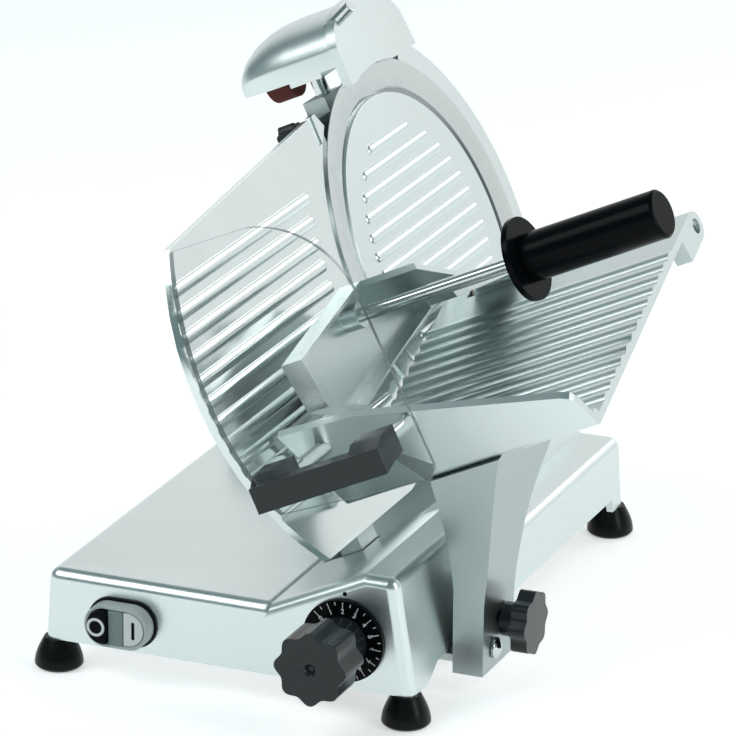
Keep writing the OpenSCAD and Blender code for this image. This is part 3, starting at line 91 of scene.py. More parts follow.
class SlicerLooks(bpy.types.PropertyGroup):
    """Colours and sizes of the finishes"""

    casting: bpy.props.FloatVectorProperty(
        name="Casting", description="Colour of the polished castings", subtype="COLOR",
        default=(0.685, 0.755, 0.75), min=0, max=1)
    # Darker copy of the casting colour, painted shade for the arm, gauge foot, sharpener post and
    # housing
    raw: bpy.props.FloatVectorProperty(
        name="Casting with painted shade", subtype="COLOR",
        description="Colour of the arm, the gauge's foot, the sharpener's post and the housing",
        default=(0.40, 0.455, 0.455), min=0, max=1)
    steel: bpy.props.FloatVectorProperty(
        name="Steel", description="Colour of the ground steel", subtype="COLOR",
        default=(0.62, 0.66, 0.66), min=0, max=1)
    satin: bpy.props.FloatVectorProperty(
        name="Satin black", subtype="COLOR",
        description="Colour of the knobs and of the carriage handle",
        default=(0.017, 0.022, 0.024), min=0, max=1)
    black: bpy.props.FloatVectorProperty(
        name="Black plastic", subtype="COLOR",
        description="Colour of the dial, the pusher's grip and the caps",
        default=(0.003, 0.004, 0.005), min=0, max=1)
    grey: bpy.props.FloatVectorProperty(
        name="Grey plastic", description="Colour of the switch frame", subtype="COLOR",
        default=(0.52, 0.56, 0.57), min=0, max=1)
    white: bpy.props.FloatVectorProperty(
        name="White plastic", subtype="COLOR",
        description="Colour of the start button and the printed marks",
        default=(0.80, 0.82, 0.82), min=0, max=1)
    lens: bpy.props.FloatVectorProperty(
        name="Lens", description="Colour of the lamp's lens on the switch", subtype="COLOR",
        default=(0.20, 0.27, 0.27), min=0, max=1)
    rubber: bpy.props.FloatVectorProperty(
        name="Rubber", subtype="COLOR",
        description="Colour of the feet, the belt and the switch gasket",
        default=(0.006, 0.007, 0.007), min=0, max=1)
    grit: bpy.props.FloatVectorProperty(
        name="Grinding grit", description="Colour of the grinding stone", subtype="COLOR",
        default=(0.19, 0.045, 0.035), min=0, max=1)
    honing: bpy.props.FloatVectorProperty(
        name="Honing grit", description="Colour of the honing stone", subtype="COLOR",
        default=(0.30, 0.26, 0.22), min=0, max=1)
    guard: bpy.props.FloatVectorProperty(
        name="Guard", description="Tint of the clear hand guard", subtype="COLOR",
        default=(0.95, 0.985, 0.98), min=0, max=1)
    # Painted shade: a dark colour on the clear guard's cut edge
    guard_edge: bpy.props.FloatVectorProperty(
        name="Guard edge shade", description="Colour of the guard's cut edge", subtype="COLOR",
        default=(0.13, 0.18, 0.18), min=0, max=1)
    bronze: bpy.props.FloatVectorProperty(
        name="Bronze", description="Colour of the bushes", subtype="COLOR",
        default=(0.30, 0.25, 0.17), min=0, max=1)
    floor: bpy.props.FloatVectorProperty(
        name="Floor", description="Colour of the floor", subtype="COLOR",
        default=(0.90, 0.91, 0.91), min=0, max=1)
    edge: bpy.props.FloatProperty(
        name="Edge", description="Width of the softened edges of castings", unit="LENGTH",
        default=0.0009, min=0.0, max=0.003)
    arm_edge: bpy.props.FloatProperty(
        name="Arm edge", unit="LENGTH",
        description="Width of the softened edges of the carriage arm",
        default=0.0032, min=0.0, max=0.006)
    fine_edge: bpy.props.FloatProperty(
        name="Fine edge", unit="LENGTH",
        description="Width of the softened edges of turned and moulded pieces",
        default=0.0005, min=0.0, max=0.002)
    mark: bpy.props.FloatProperty(
        name="Mark", description="Thickness of the printed marks", unit="LENGTH",
        default=0.00015, min=0.00005, max=0.0005)
    figure: bpy.props.FloatProperty(
        name="Figure", description="Height of the dial's figures", unit="LENGTH",
        default=0.0052, min=0.003, max=0.007)


def looks():
    """The user's values."""
    return bpy.context.scene.slicer_looks


# Shader groups

def new_group(name, inputs, outputs):
    """An empty shader group with its sockets."""
    group = bpy.data.node_groups.new(name, "ShaderNodeTree")
    for label, kind, default in inputs:
        socket = group.interface.new_socket(label, in_out="INPUT", socket_type=kind)
        if default is not None:
            socket.default_value = default
    for label, kind in outputs:
        group.interface.new_socket(label, in_out="OUTPUT", socket_type=kind)
    return group, group.nodes.new("NodeGroupInput"), group.nodes.new("NodeGroupOutput")


def noise_node(tree, detail, rough, dimensions="3D"):
    """A noise texture."""
    node = tree.nodes.new("ShaderNodeTexNoise")
    node.noise_dimensions = dimensions
    node.inputs["Detail"].default_value = detail
    node.inputs["Roughness"].default_value = rough
    return node


def math_node(tree, operation):
    """A math node."""
    node = tree.nodes.new("ShaderNodeMath")
    node.operation = operation
    return node


def grain_group():
    """Cloudy shade with a fine grain on it, and the slow swell of a hand-polished face."""
    name = "Grain"
    if name in bpy.data.node_groups:
        return bpy.data.node_groups[name]
    group, given, made = new_group(
        name,
        [("Vector", "NodeSocketVector", None), ("Cloud", "NodeSocketFloat", 12.0),
         ("Fine", "NodeSocketFloat", 900.0), ("Share", "NodeSocketFloat", 0.35)],
        [("Shade", "NodeSocketFloat"), ("Height", "NodeSocketFloat"), ("Swell", "NodeSocketFloat")])
    cloud = noise_node(group, detail=4, rough=0.55)
    swell = noise_node(group, detail=1, rough=0.4)
    fine = noise_node(group, detail=2, rough=0.6)
    mix = group.nodes.new("ShaderNodeMix")
    link = group.links.new
    for noise, scale in ((cloud, "Cloud"), (fine, "Fine"), (swell, "Cloud")):
        link(given.outputs["Vector"], noise.inputs["Vector"])
        link(given.outputs[scale], noise.inputs["Scale"])
    link(given.outputs["Share"], mix.inputs["Factor"])
    link(cloud.outputs["Fac"], mix.inputs["A"])
    link(fine.outputs["Fac"], mix.inputs["B"])
    link(mix.outputs["Result"], made.inputs["Shade"])
    link(fine.outputs["Fac"], made.inputs["Height"])
    link(swell.outputs["Fac"], made.inputs["Swell"])
    return group


def turned_group():
    """Rings round the X axis of its vector, as a lathe or a grinder leaves them."""
    name = "Turned rings"
    if name in bpy.data.node_groups:
        return bpy.data.node_groups[name]
    group, given, made = new_group(
        name,
        [("Vector", "NodeSocketVector", None), ("Scale", "NodeSocketFloat", 900.0)],
        [("Shade", "NodeSocketFloat"), ("Height", "NodeSocketFloat")])
    flat = group.nodes.new("ShaderNodeVectorMath")
    flat.operation = "MULTIPLY"
    flat.inputs[1].default_value = (0, 1, 1)
    length = group.nodes.new("ShaderNodeVectorMath")
    length.operation = "LENGTH"
    rings = noise_node(group, detail=3, rough=0.7, dimensions="1D")
    link = group.links.new
    link(given.outputs["Vector"], flat.inputs[0])
    link(flat.outputs["Vector"], length.inputs[0])
    link(length.outputs["Value"], rings.inputs["W"])
    link(given.outputs["Scale"], rings.inputs["Scale"])
    link(rings.outputs["Fac"], made.inputs["Shade"])
    link(rings.outputs["Fac"], made.inputs["Height"])
    return group


# Materials

def base_material(name):
    """A material with its Principled shader and Object coordinates."""
    material = bpy.data.materials.new(name)
    material.use_nodes = True
    tree = material.node_tree
    shader = tree.nodes["Principled BSDF"]
    place = tree.nodes.new("ShaderNodeTexCoord").outputs["Object"]
    return material, tree, shader, place


def mapped(tree, place, location=(0, 0, 0), rotation=(0, 0, 0), scale=(1, 1, 1)):
    """Object coordinates moved, turned and stretched."""
    node = tree.nodes.new("ShaderNodeMapping")
    node.inputs["Location"].default_value = location
    node.inputs["Rotation"].default_value = rotation
    node.inputs["Scale"].default_value = scale
    tree.links.new(place, node.inputs["Vector"])
    return node.outputs["Vector"]


def dressed_by(tree, shader, shade, height, colour, spread, rough, bump, depth):
    """Colour, roughness and normal of a shader from one shade and one height."""
    ramp = tree.nodes.new("ShaderNodeMix")
    ramp.data_type = "RGBA"
    ramp.inputs["A"].default_value = (*[c * (1 - spread) for c in colour], 1)
    ramp.inputs["B"].default_value = (*[min(1, c * (1 + spread)) for c in colour], 1)
    worn = tree.nodes.new("ShaderNodeMapRange")
    worn.inputs["From Min"].default_value = NOISE_LOW
    worn.inputs["From Max"].default_value = NOISE_HIGH
    worn.inputs["To Min"].default_value = rough[0]
    worn.inputs["To Max"].default_value = rough[1]
    relief = tree.nodes.new("ShaderNodeBump")
    relief.inputs["Strength"].default_value = bump
    relief.inputs["Distance"].default_value = depth
    link = tree.links.new
    link(shade, ramp.inputs["Factor"])
    link(ramp.outputs["Result"], shader.inputs["Base Color"])
    link(shade, worn.inputs["Value"])
    link(worn.outputs["Result"], shader.inputs["Roughness"])
    link(height, relief.inputs["Height"])
    link(relief.outputs["Normal"], shader.inputs["Normal"])
    return relief


def grained(name, colour, metallic, rough, spread=0.06, cloud=12.0, fine=900.0, share=0.35,
            bump=0.1, depth=0.0002, swell=0.0, turn=(0, 0, 0), stretch=(1, 1, 1), **sockets):
    """A material with the Grain group; a stretch makes its grain run one way."""
    if name in bpy.data.materials:
        return bpy.data.materials[name]
    material, tree, shader, place = base_material(name)
    grain = tree.nodes.new("ShaderNodeGroup")
    grain.node_tree = grain_group()
    grain.inputs["Cloud"].default_value = cloud
    grain.inputs["Fine"].default_value = fine
    grain.inputs["Share"].default_value = share
    tree.links.new(mapped(tree, place, rotation=turn, scale=stretch), grain.inputs["Vector"])
    shader.inputs["Metallic"].default_value = metallic
    for label, value in sockets.items():
        shader.inputs[label.replace("_", " ")].default_value = value
    relief = dressed_by(tree, shader, grain.outputs["Shade"], grain.outputs["Height"],
                        colour, spread, rough, bump, depth)
    if swell:
        slow = tree.nodes.new("ShaderNodeBump")
        slow.inputs["Strength"].default_value = 1.0
        slow.inputs["Distance"].default_value = swell
        tree.links.new(grain.outputs["Swell"], slow.inputs["Height"])
        tree.links.new(slow.outputs["Normal"], relief.inputs["Normal"])
    return material


def metal(name, colour, rough, **more):
    """A grained metal."""
    return grained(name, colour, 1.0, rough, **more)


def plain(name, colour, rough, **more):
    """A grained plastic, rubber or stone."""
    return grained(name, colour, 0.0, rough, **more)


def ringed(name, colour, rough, spread=0.05, scale=900.0, bump=0.05, depth=0.0001):
    """Ground metal with rings round the knife's axis."""
    if name in bpy.data.materials:
        return bpy.data.materials[name]
    material, tree, shader, place = base_material(name)
    rings = tree.nodes.new("ShaderNodeGroup")
    rings.node_tree = turned_group()
    rings.inputs["Scale"].default_value = scale
    centre = KNIFE_TURN.inverted() @ KNIFE_CENTRE
    tree.links.new(mapped(tree, place, location=-centre, rotation=(0, TILT, 0)), rings.inputs["Vector"])
    shader.inputs["Metallic"].default_value = 1.0
    dressed_by(tree, shader, rings.outputs["Shade"], rings.outputs["Height"],
               colour, spread, rough, bump, depth)
    return material


def casting():
    """Frosted castings: base, ring, hood, pulley cover and pusher plate."""
    return metal("frosted_aluminium", looks().casting, (0.24, 0.36), spread=0.05, cloud=9.0,
                 fine=1400.0, bump=0.05, swell=0.002)


def raw_casting():
    """The casting colour darkened as painted shade: arm, gauge foot, sharpener post and housing."""
    return metal("raw_aluminium", looks().raw, (0.26, 0.40), spread=0.08, cloud=11.0,
                 fine=1300.0, bump=0.06, swell=0.003)


def polished_casting():
    """The gauge plate, polished brighter than the rest."""
    return metal("polished_aluminium", looks().casting, (0.14, 0.22), spread=0.05, cloud=14.0,
                 fine=600.0, bump=0.03, swell=0.002, turn=(0, TILT, 0), stretch=(0.06, 1, 1))


def cover_casting():
    """Blade cover and carriage table."""
    return metal("satin_aluminium", looks().casting, (0.28, 0.38), spread=0.04, cloud=7.0,
                 fine=1500.0, bump=0.04, swell=0.002)


def knife_steel():
    """The knife, ground in rings."""
    return ringed("ground_knife_steel", looks().steel, (0.16, 0.30))


def steel():
    """Rods, posts, pins and shafts."""
    return metal("polished_steel", looks().steel, (0.06, 0.13), spread=0.03, cloud=30.0,
                 fine=1200.0, bump=0.02)


def sheet_steel():
    """Base plate, carriage bracket and the motor's shell, with a grain along the stroke."""
    return metal("rolled_sheet", looks().steel, (0.28, 0.40), spread=0.08, fine=500.0,
                 stretch=(1, 0.05, 1))


def black_plastic():
    """Dial, pusher grip and disc, caps and printed black."""
    return plain("moulded_black", looks().black, (0.14, 0.22), spread=0.25, cloud=20.0,
                 fine=1100.0, bump=0.02, depth=0.0001, Specular_IOR_Level=0.05)


def satin_black():
    """Knobs and the carriage handle."""
    return plain("satin_black", looks().satin, (0.20, 0.28), spread=0.2, cloud=20.0,
                 fine=1100.0, bump=0.02, depth=0.0001, Specular_IOR_Level=0.35)


def grey_plastic():
    """The switch frame."""
    return plain("moulded_grey", looks().grey, (0.25, 0.34), spread=0.03, fine=1600.0, bump=0.04)


def lens_plastic():
    """The lamp's lens on the switch."""
    return plain("lens_plastic", looks().lens, (0.10, 0.18), spread=0.06, fine=900.0, bump=0.02)


def white_plastic():
    """The start button and the printed white."""
    return plain("moulded_white", looks().white, (0.25, 0.33), spread=0.02, fine=1600.0, bump=0.04)


def rubber():
    """Feet, belt and switch gasket."""
    return plain("moulded_rubber", looks().rubber, (0.24, 0.36), spread=0.25, cloud=40.0,
                 fine=1000.0, bump=0.05, Specular_IOR_Level=0.15)


def bronze():
    """Bushes of the carriage and the pusher."""
    return metal("sintered_bronze", looks().bronze, (0.35, 0.5), spread=0.1, fine=2500.0, bump=0.2)


def grit(name, colour):
    """A bonded stone."""
    return plain(name, colour, (0.75, 0.95), spread=0.5, cloud=300.0, fine=1500.0, share=0.6,
                 bump=0.7, depth=0.0006)


def clear_sheet(name="guard_sheet", smudges=18.0, rough=(0.02, 0.09), blend=0.25, cover=(0.01, 0.17)):
    """Clear guard with faint smudges: seen through when faced; at a slant its pale tint shows more, a
    real reflection with a painted sheen.
    """
    if name in bpy.data.materials:
        return bpy.data.materials[name]
    material, tree, shader, place = base_material(name)
    smudge = noise_node(tree, detail=3, rough=0.5)
    smudge.inputs["Scale"].default_value = smudges
    haze = tree.nodes.new("ShaderNodeMapRange")
    haze.inputs["To Min"].default_value = rough[0]
    haze.inputs["To Max"].default_value = rough[1]
    slant = tree.nodes.new("ShaderNodeLayerWeight")
    slant.inputs["Blend"].default_value = blend
    share = tree.nodes.new("ShaderNodeMapRange")
    share.inputs["To Min"].default_value = cover[0]
    share.inputs["To Max"].default_value = cover[1]
    shader.inputs["Base Color"].default_value = (*looks().guard, 1)
    link = tree.links.new
    link(place, smudge.inputs["Vector"])
    link(smudge.outputs["Fac"], haze.inputs["Value"])
    link(haze.outputs["Result"], shader.inputs["Roughness"])
    # Opacity grows at a slant: painted sheen of the pale tint over the real reflection
    link(slant.outputs["Facing"], share.inputs["Value"])
    link(share.outputs["Result"], shader.inputs["Alpha"])
    return material


def sheet_edge():
    """Cut edge of the clear guard, darker than its faces as painted shade."""
    return plain("guard_sheet_edge", looks().guard_edge, (0.08, 0.16), spread=0.5, cloud=60.0,
                 fine=900.0, bump=0.05, Alpha=0.85)


# Pieces

def add_piece(name, bm, finish, body):
    """A mesh object from a bmesh that rides on a body."""
    mesh = bpy.data.meshes.new(name)
    bm.to_mesh(mesh)
    bm.free()
    mesh.shade_smooth()
    mesh.set_sharp_from_angle(angle=SMOOTH_ANGLE)
    mesh.materials.append(finish)
    piece = bpy.data.objects.new(name, mesh)
    bpy.context.scene.collection.objects.link(piece)
    shading = piece.modifiers.new("Shading", "WEIGHTED_NORMAL")
    shading.keep_sharp = True
    shading.weight = FACE_WEIGHT
    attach(piece, body)
    return piece


def softened(node, finish, width):
    """A copy of a CAD node with its flat faces joined and its sharp edges softened."""
    bm = bmesh.new()
    bm.from_mesh(frame["nodes"][node].data)
    bmesh.ops.remove_doubles(bm, verts=bm.verts, dist=WELD)
    bmesh.ops.dissolve_limit(bm, angle_limit=FLAT_ANGLE, verts=bm.verts, edges=bm.edges)
    sharp = [e for e in bm.edges if len(e.link_faces) == 2 and e.calc_face_angle(0) > SHARP_ANGLE]
    if width and sharp:
        bmesh.ops.bevel(bm, geom=sharp, offset=width, offset_type="OFFSET", segments=SOFT_SEGMENTS,
                        profile=0.5, affect="EDGES", clamp_overlap=True, material=-1)
        bmesh.ops.dissolve_degenerate(bm, dist=WELD, edges=bm.edges)
    piece = add_piece(node + "_skin", bm, finish, BODIES[node])
    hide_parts(node)
    return piece


def front_centre(node):
    """The middle of the front of a node's box."""
    low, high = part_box(node)
    return Vector(((low.x + high.x) / 2, low.y, (low.z + high.z) / 2))


def finished(node, finish):
    """A CAD node that keeps its shape and gets a finish."""
    mesh = frame["nodes"][node].data
    mesh.materials.clear()
    mesh.materials.append(finish)


class DressCastings(bpy.types.Operator):
    """Castings: base, housing, ring, covers, hood, post, arm, table, gauge and pusher plates"""

    bl_idname = "slicer.castings"
    bl_label = "Castings"

    def execute(self, context):
        edge = looks().edge
        for node in ("base_casting", "ring_guard", "sharpener_hood", "pulley_cover", "pusher_plate"):
            softened(node, casting(), edge)
        # Sharpener post, gauge foot, housing and arm get the darker casting colour as painted shade
        for node in ("sharpener_post", "gauge_arm"):
            softened(node, raw_casting(), edge)
        softened("blade_housing", raw_casting(), 0)
        softened("carriage_arm", raw_casting(), looks().arm_edge)
        softened("gauge_plate", polished_casting(), edge)
        for node in ("blade_cover", "carriage_table"):
            softened(node, cover_casting(), edge)
        return {"FINISHED"}


class DressSteel(bpy.types.Operator):
    """Knife, rods, posts, pins, bolts and sheets"""

    bl_idname = "slicer.steel"
    bl_label = "Steel pieces"

    def execute(self, context):
        fine = looks().fine_edge
        softened("knife", knife_steel(), 0)
        for node in ("pusher_rod", "guide_rod", "handle_posts", "sharpener_pin", "arm_bolt",
                     "sharpener_stem"):
            softened(node, steel(), fine)
        for node in ("base_plate", "carriage_bracket"):
            softened(node, sheet_steel(), fine)
        return {"FINISHED"}


class DressPlastic(bpy.types.Operator):
    """Knobs, dial, grips, handle, caps, teeth and feet"""

    bl_idname = "slicer.plastic"
    bl_label = "Knobs, grips and feet"

    def execute(self, context):
        fine = looks().fine_edge
        for node in ("dial_disc", "pusher_disc", "pusher_grip", "cable_gland", "motor_cover"):
            softened(node, black_plastic(), fine)
        for node in ("thickness_knob", "arm_knob", "tie_rod_knob", "sharpener_knob",
                     "carriage_handle"):
            softened(node, satin_black(), fine)
        finished("pusher_teeth", black_plastic())
        softened("feet", rubber(), fine)
        return {"FINISHED"}


class DressGuard(bpy.types.Operator):
    """Clear hand guard in front of the table"""

    bl_idname = "slicer.guard"
    bl_label = "Hand guard"

    edge_share = 0.05

    def execute(self, context):
        piece = softened("hand_guard", clear_sheet(), 0)
        piece.data.materials.append(sheet_edge())
        # Narrow faces get the dark edge colour, painted shade
        wide = max(face.area for face in piece.data.polygons) * self.edge_share
        for face in piece.data.polygons:
            face.material_index = int(face.area < wide)
        return {"FINISHED"}


class DressStones(bpy.types.Operator):
    """Grinding and honing stones"""

    bl_idname = "slicer.stones"
    bl_label = "Stones"

    def execute(self, context):
        softened("grinding_stone", grit("coarse_grit", looks().grit), looks().fine_edge)
        finished("honing_stone", grit("fine_grit", looks().honing))
        return {"FINISHED"}


class DressInside(bpy.types.Operator):
    """Pieces inside the base and the housing"""

    bl_idname = "slicer.inside"
    bl_label = "Inner pieces"

    def execute(self, context):
        for node in ("foot_screws", "knob_shaft", "gauge_cam", "gauge_rod", "knife_hub", "bearings",
                     "knife_pulley", "motor_pulley", "tie_rod", "slide_rod", "guide_bar"):
            finished(node, steel())
        for node in ("bearing_housing", "slide_block"):
            finished(node, casting())
        for node in ("control_box", "switch_block"):
            finished(node, black_plastic())
        for node in ("slide_bushes", "pusher_bush"):
            finished(node, bronze())
        finished("motor", sheet_steel())
        finished("drive_belt", rubber())
        return {"FINISHED"}


def front_bar(bm, centre, size):
    """A thin block on a face that looks to the front, from the middle of its back face."""
    made = bmesh.ops.create_cube(bm, size=1)
    place = Matrix.Translation(centre - Vector((0, size[1] / 2, 0))) @ Matrix.Diagonal((*size, 1))
    bmesh.ops.transform(bm, matrix=place, verts=made["verts"])
    return made["verts"]


class DressSwitch(bpy.types.Operator):
    """Switch frame, buttons, lens and their printed signs"""

    bl_idname = "slicer.switch"
    bl_label = "Switch"

    ring_r = 0.0062
    ring_line = 0.0022
    ring_steps = 64
    bar = (0.0024, 0.0140)
    bar_round = 0.49
    bar_segments = 6
    key_edges = 2

    def execute(self, context):
        fine = looks().fine_edge
        softened("switch_gasket", rubber(), 0)
        softened("switch_bezel", grey_plastic(), fine * self.key_edges)
        softened("stop_button", black_plastic(), fine * self.key_edges)
        softened("start_button", white_plastic(), fine * self.key_edges)
        softened("switch_lens", lens_plastic(), fine)
        self.ring()
        self.sign_bar()
        return {"FINISHED"}

    def ring(self):
        """The printed ring of the stop button."""
        bm = bmesh.new()
        half = self.ring_line / 2
        outline = [Vector((self.ring_r - half, 0, 0)), Vector((self.ring_r + half, 0, 0))]
        outline += [p - Vector((0, looks().mark, 0)) for p in reversed(outline)]
        verts = [bm.verts.new(p) for p in outline]
        edges = [bm.edges.new((a, b)) for a, b in zip(verts, verts[1:] + verts[:1])]
        bmesh.ops.spin(bm, geom=[*verts, *edges], cent=(0, 0, 0), axis=(0, 1, 0), angle=2 * math.pi,
                       steps=self.ring_steps, use_merge=True)
        bmesh.ops.recalc_face_normals(bm, faces=bm.faces)
        bmesh.ops.translate(bm, vec=front_centre("stop_button"), verts=bm.verts)
        add_piece("stop_sign", bm, white_plastic(), "stop_key")

    def sign_bar(self):
        """The printed bar of the start button, round at its ends."""
        bm = bmesh.new()
        width, height = self.bar
        mark = looks().mark
        front_bar(bm, front_centre("start_button"), (width, mark, height))
        corners = [e for e in bm.edges if abs(e.verts[0].co.y - e.verts[1].co.y) > mark / 2]
        bmesh.ops.bevel(bm, geom=corners, offset=width * self.bar_round, offset_type="OFFSET",
                        segments=self.bar_segments, profile=0.5, affect="EDGES", material=-1)
        add_piece("start_sign", bm, black_plastic(), "start_key")


class DressDial(bpy.types.Operator):
    """Ticks and figures on the thickness dial, and the pointer dot over it"""

    bl_idname = "slicer.dial"
    bl_label = "Dial marks"

    figures = 13
    first = -48.0
    step = 24.0
    tick_out = 0.0305
    tick_long = 0.0050
    tick_short = 0.0026
    tick_line = 0.0006
    figure_r = 0.0232
    figure_bold = 0.00012
    dot_r = 0.0017
    dot_up = 0.0357
    dot_segments = 24
    dot_taper = 0.9
    dot_proud = 0.9

    def execute(self, context):
        centre = front_centre("dial_disc")
        mark = looks().mark
        bm = bmesh.new()
        for k in range(2 * self.figures - 1):
            length = self.tick_short if k % 2 else self.tick_long
            middle = Vector((0, 0, self.tick_out - length / 2))
            verts = front_bar(bm, middle, (self.tick_line, mark, length))
            turn = Matrix.Rotation(math.radians(self.first + k * self.step / 2), 4, "Y")
            bmesh.ops.transform(bm, matrix=turn, verts=verts)
        for k in range(self.figures):
            self.figure(bm, str(k), math.radians(self.first + k * self.step))
        bmesh.ops.translate(bm, vec=centre, verts=bm.verts)
        add_piece("dial_marks", bm, white_plastic(), "knob")
        self.dot(centre)
        return {"FINISHED"}

    def figure(self, bm, text, angle):
        """Adds one figure to the dial, upright at its own angle."""
        curve = bpy.data.curves.new("figure", "FONT")
        curve.body = text
        curve.size = looks().figure
        curve.align_x = "CENTER"
        curve.align_y = "CENTER"
        curve.extrude = looks().mark / 2
        curve.offset = self.figure_bold
        holder = bpy.data.objects.new("figure", curve)
        bpy.context.scene.collection.objects.link(holder)
        bpy.context.view_layer.update()
        mesh = bpy.data.meshes.new_from_object(holder)
        out = Matrix.Translation((0, -looks().mark / 2, self.figure_r))
        mesh.transform(Matrix.Rotation(angle, 4, "Y") @ out @ Matrix.Rotation(math.pi / 2, 4, "X"))
        bm.from_mesh(mesh)
        bpy.data.objects.remove(holder)
        bpy.data.curves.remove(curve)
        bpy.data.meshes.remove(mesh)

    def dot(self, centre):
        """The pointer dot on the base, above the dial."""
        mark = looks().mark
        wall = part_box("base_casting")[0].y
        bm = bmesh.new()
        bmesh.ops.create_cone(bm, cap_ends=True, segments=self.dot_segments, radius1=self.dot_r,
                              radius2=self.dot_r * self.dot_taper, depth=2 * mark)
        place = Matrix.Translation((centre.x, wall - mark * self.dot_proud, centre.z + self.dot_up))
        bmesh.ops.transform(bm, matrix=place @ Matrix.Rotation(math.pi / 2, 4, "X"), verts=bm.verts)
        add_piece("pointer_dot", bm, black_plastic(), "stand")


class SetStage(bpy.types.Operator):
    """Floor, lamps, world and camera"""

    bl_idname = "slicer.stage"
    bl_label = "Stage"

    room = (0.17, 0.24, 0.245)
    backdrop = (0.99, 1.0, 0.995)
    backdrop_from = 0.15
    backdrop_to = 0.75
    zenith_from = 0.45
    zenith_to = 0.85
    zenith_share = 0.25
    patch_scale = 2.6
    patch_from = 0.38
    patch_to = 0.62
    patch_low = 0.82
    patch_high = 1.06
    floor_size = 12
    floor_drop = 0.0002
    floor_rough = 0.9
    floor_gloss = 0.1
    floor_lift = 0.50
    # Name, place, size and power of each lamp, and the point that all look at
    lamps = (
        ("key", (-1.3, -1.5, 2.0), (1.8, 1.4), 24.0),
        ("right", (1.9, -0.5, 1.0), (0.7, 1.6), 12.0),
        ("back", (1.2, 1.9, 1.5), (1.4, 0.8), 10.0),
    )
    lamp_aim = (0, 0, 0.2)

    def execute(self, context):
        scene = bpy.context.scene
        scene.view_settings.view_transform = "Standard"
        self.floor()
        self.world(scene)
        for lamp in self.lamps:
            self.lamp(*lamp)
        self.camera(scene)
        return {"FINISHED"}

    def floor(self):
        """A pale floor, lifted towards white for what looks at it straight or in a mirror."""
        bm = bmesh.new()
        bmesh.ops.create_grid(bm, x_segments=2, y_segments=2, size=self.floor_size)
        bmesh.ops.translate(bm, vec=(0, 0, -self.floor_drop), verts=bm.verts)
        mesh = bpy.data.meshes.new("floor")
        bm.to_mesh(mesh)
        bm.free()
        material, tree, shader, _ = base_material("pale_floor")
        shader.inputs["Base Color"].default_value = (*looks().floor, 1)
        shader.inputs["Roughness"].default_value = self.floor_rough
        shader.inputs["Specular IOR Level"].default_value = self.floor_gloss
        path = tree.nodes.new("ShaderNodeLightPath")
        seen = math_node(tree, "MAXIMUM")
        glossy = math_node(tree, "MAXIMUM")
        level = math_node(tree, "MULTIPLY")
        level.inputs[1].default_value = self.floor_lift
        link = tree.links.new
        link(path.outputs["Is Glossy Ray"], glossy.inputs[0])
        link(path.outputs["Is Transmission Ray"], glossy.inputs[1])
        link(path.outputs["Is Camera Ray"], seen.inputs[0])
        link(glossy.outputs["Value"], seen.inputs[1])
        link(seen.outputs["Value"], level.inputs[0])
        shader.inputs["Emission Color"].default_value = (1, 1, 1, 1)
        link(level.outputs["Value"], shader.inputs["Emission Strength"])
        mesh.materials.append(material)
        floor = bpy.data.objects.new("floor", mesh)
        bpy.context.scene.collection.objects.link(floor)

    def world(self, scene):
        """A dim room with a bright, slightly uneven backdrop behind the slicer."""
        world = bpy.data.worlds.new("studio")
        world.use_nodes = True
        tree = world.node_tree
        back = tree.nodes["Background"]
        place = tree.nodes.new("ShaderNodeTexCoord")
        split = tree.nodes.new("ShaderNodeSeparateXYZ")
        behind = self.faded(tree, self.backdrop_from, self.backdrop_to, 0.0, 1.0)
        below = self.faded(tree, self.zenith_from, self.zenith_to, 1.0, self.zenith_share)
        patches = noise_node(tree, detail=1, rough=0.4)
        patches.inputs["Scale"].default_value = self.patch_scale
        uneven = self.faded(tree, self.patch_from, self.patch_to, self.patch_low, self.patch_high)
        share = math_node(tree, "MULTIPLY")
        level = math_node(tree, "MULTIPLY")
        tone = tree.nodes.new("ShaderNodeMix")
        tone.data_type = "RGBA"
        tone.inputs["A"].default_value = (*self.room, 1)
        tone.inputs["B"].default_value = (*self.backdrop, 1)
        link = tree.links.new
        link(place.outputs["Generated"], split.inputs["Vector"])
        link(place.outputs["Generated"], patches.inputs["Vector"])
        link(split.outputs["Y"], behind.inputs["Value"])
        link(split.outputs["Z"], below.inputs["Value"])
        link(patches.outputs["Fac"], uneven.inputs["Value"])
        link(behind.outputs["Result"], share.inputs[0])
        link(below.outputs["Result"], share.inputs[1])
        link(share.outputs["Value"], level.inputs[0])
        link(uneven.outputs["Result"], level.inputs[1])
        link(level.outputs["Value"], tone.inputs["Factor"])
        link(tone.outputs["Result"], back.inputs["Color"])
        scene.world = world

    def faded(self, tree, start, end, low, high):
        """A smooth step between two values."""
        node = tree.nodes.new("ShaderNodeMapRange")
        node.interpolation_type = "SMOOTHSTEP"
        node.inputs["From Min"].default_value = start
        node.inputs["From Max"].default_value = end
        node.inputs["To Min"].default_value = low
        node.inputs["To Max"].default_value = high
        return node

    def lamp(self, name, place, size, power):
        """One soft lamp."""
        data = bpy.data.lights.new(name, "AREA")
        data.shape = "RECTANGLE"
        data.size, data.size_y = size
        data.energy = power
        lamp = bpy.data.objects.new(name, data)
        lamp.location = place
        look = Vector(self.lamp_aim) - Vector(place)
        lamp.rotation_euler = look.to_track_quat("-Z", "Y").to_euler()
        bpy.context.scene.collection.objects.link(lamp)

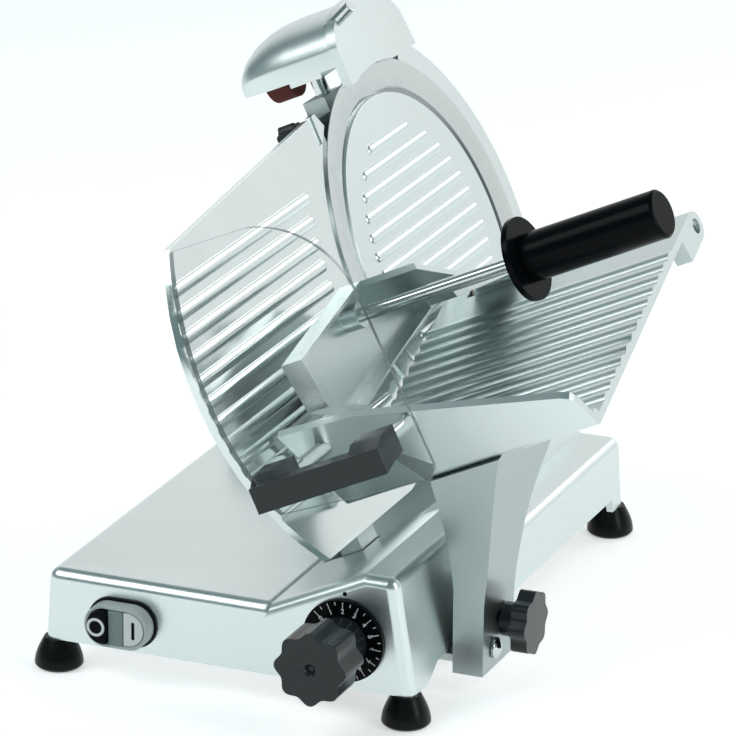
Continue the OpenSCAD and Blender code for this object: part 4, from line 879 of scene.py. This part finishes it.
    def camera(self, scene):
        """The photograph's camera."""
        back = Vector((math.sin(AZIMUTH) * math.cos(ELEVATION),
                       -math.cos(AZIMUTH) * math.cos(ELEVATION), math.sin(ELEVATION)))
        level = Vector((math.cos(AZIMUTH), math.sin(AZIMUTH), 0))
        upright = back.cross(level)
        right = math.cos(ROLL) * level + math.sin(ROLL) * upright
        up = math.cos(ROLL) * upright - math.sin(ROLL) * level
        data = bpy.data.cameras.new("camera")
        data.sensor_width = SENSOR_MM
        data.lens = FOCAL_PX / FRAME_PX * SENSOR_MM
        data.clip_end = FAR_CLIP
        camera = bpy.data.objects.new("camera", data)
        camera.matrix_world = Matrix((right, up, back)).transposed().to_4x4()
        camera.location = EYE
        bpy.context.scene.collection.objects.link(camera)
        scene.camera = camera


OPERATORS = (SetStage, DressCastings, DressSteel, DressPlastic, DressGuard, DressStones,
             DressInside, DressSwitch, DressDial)


class SlicerPanel(bpy.types.Panel):
    """Lists the slicer's operators and values"""

    bl_idname = "VIEW3D_PT_slicer"
    bl_label = "Slicer"
    bl_space_type = "VIEW_3D"
    bl_region_type = "UI"
    bl_category = "Slicer"

    def draw(self, context):
        values = context.scene.slicer_looks
        for name in values.bl_rna.properties.keys():
            if name not in ("rna_type", "name"):
                self.layout.prop(values, name)
        for operator in OPERATORS:
            self.layout.operator(operator.bl_idname)


CLASSES = (SlicerLooks, *OPERATORS, SlicerPanel)


def register():
    """Adds the classes and the values to Blender."""
    for cls in CLASSES:
        bpy.utils.register_class(cls)
    bpy.types.Scene.slicer_looks = bpy.props.PointerProperty(type=SlicerLooks)


def unregister():
    """Takes them out again."""
    del bpy.types.Scene.slicer_looks
    for cls in reversed(CLASSES):
        bpy.utils.unregister_class(cls)


def main():
    """Runs every step."""
    register()
    bpy.ops.slicer.stage()
    bpy.ops.slicer.castings()
    bpy.ops.slicer.steel()
    bpy.ops.slicer.plastic()
    bpy.ops.slicer.guard()
    bpy.ops.slicer.stones()
    bpy.ops.slicer.inside()
    bpy.ops.slicer.switch()
    bpy.ops.slicer.dial()


if __name__ == "__main__":
    main()
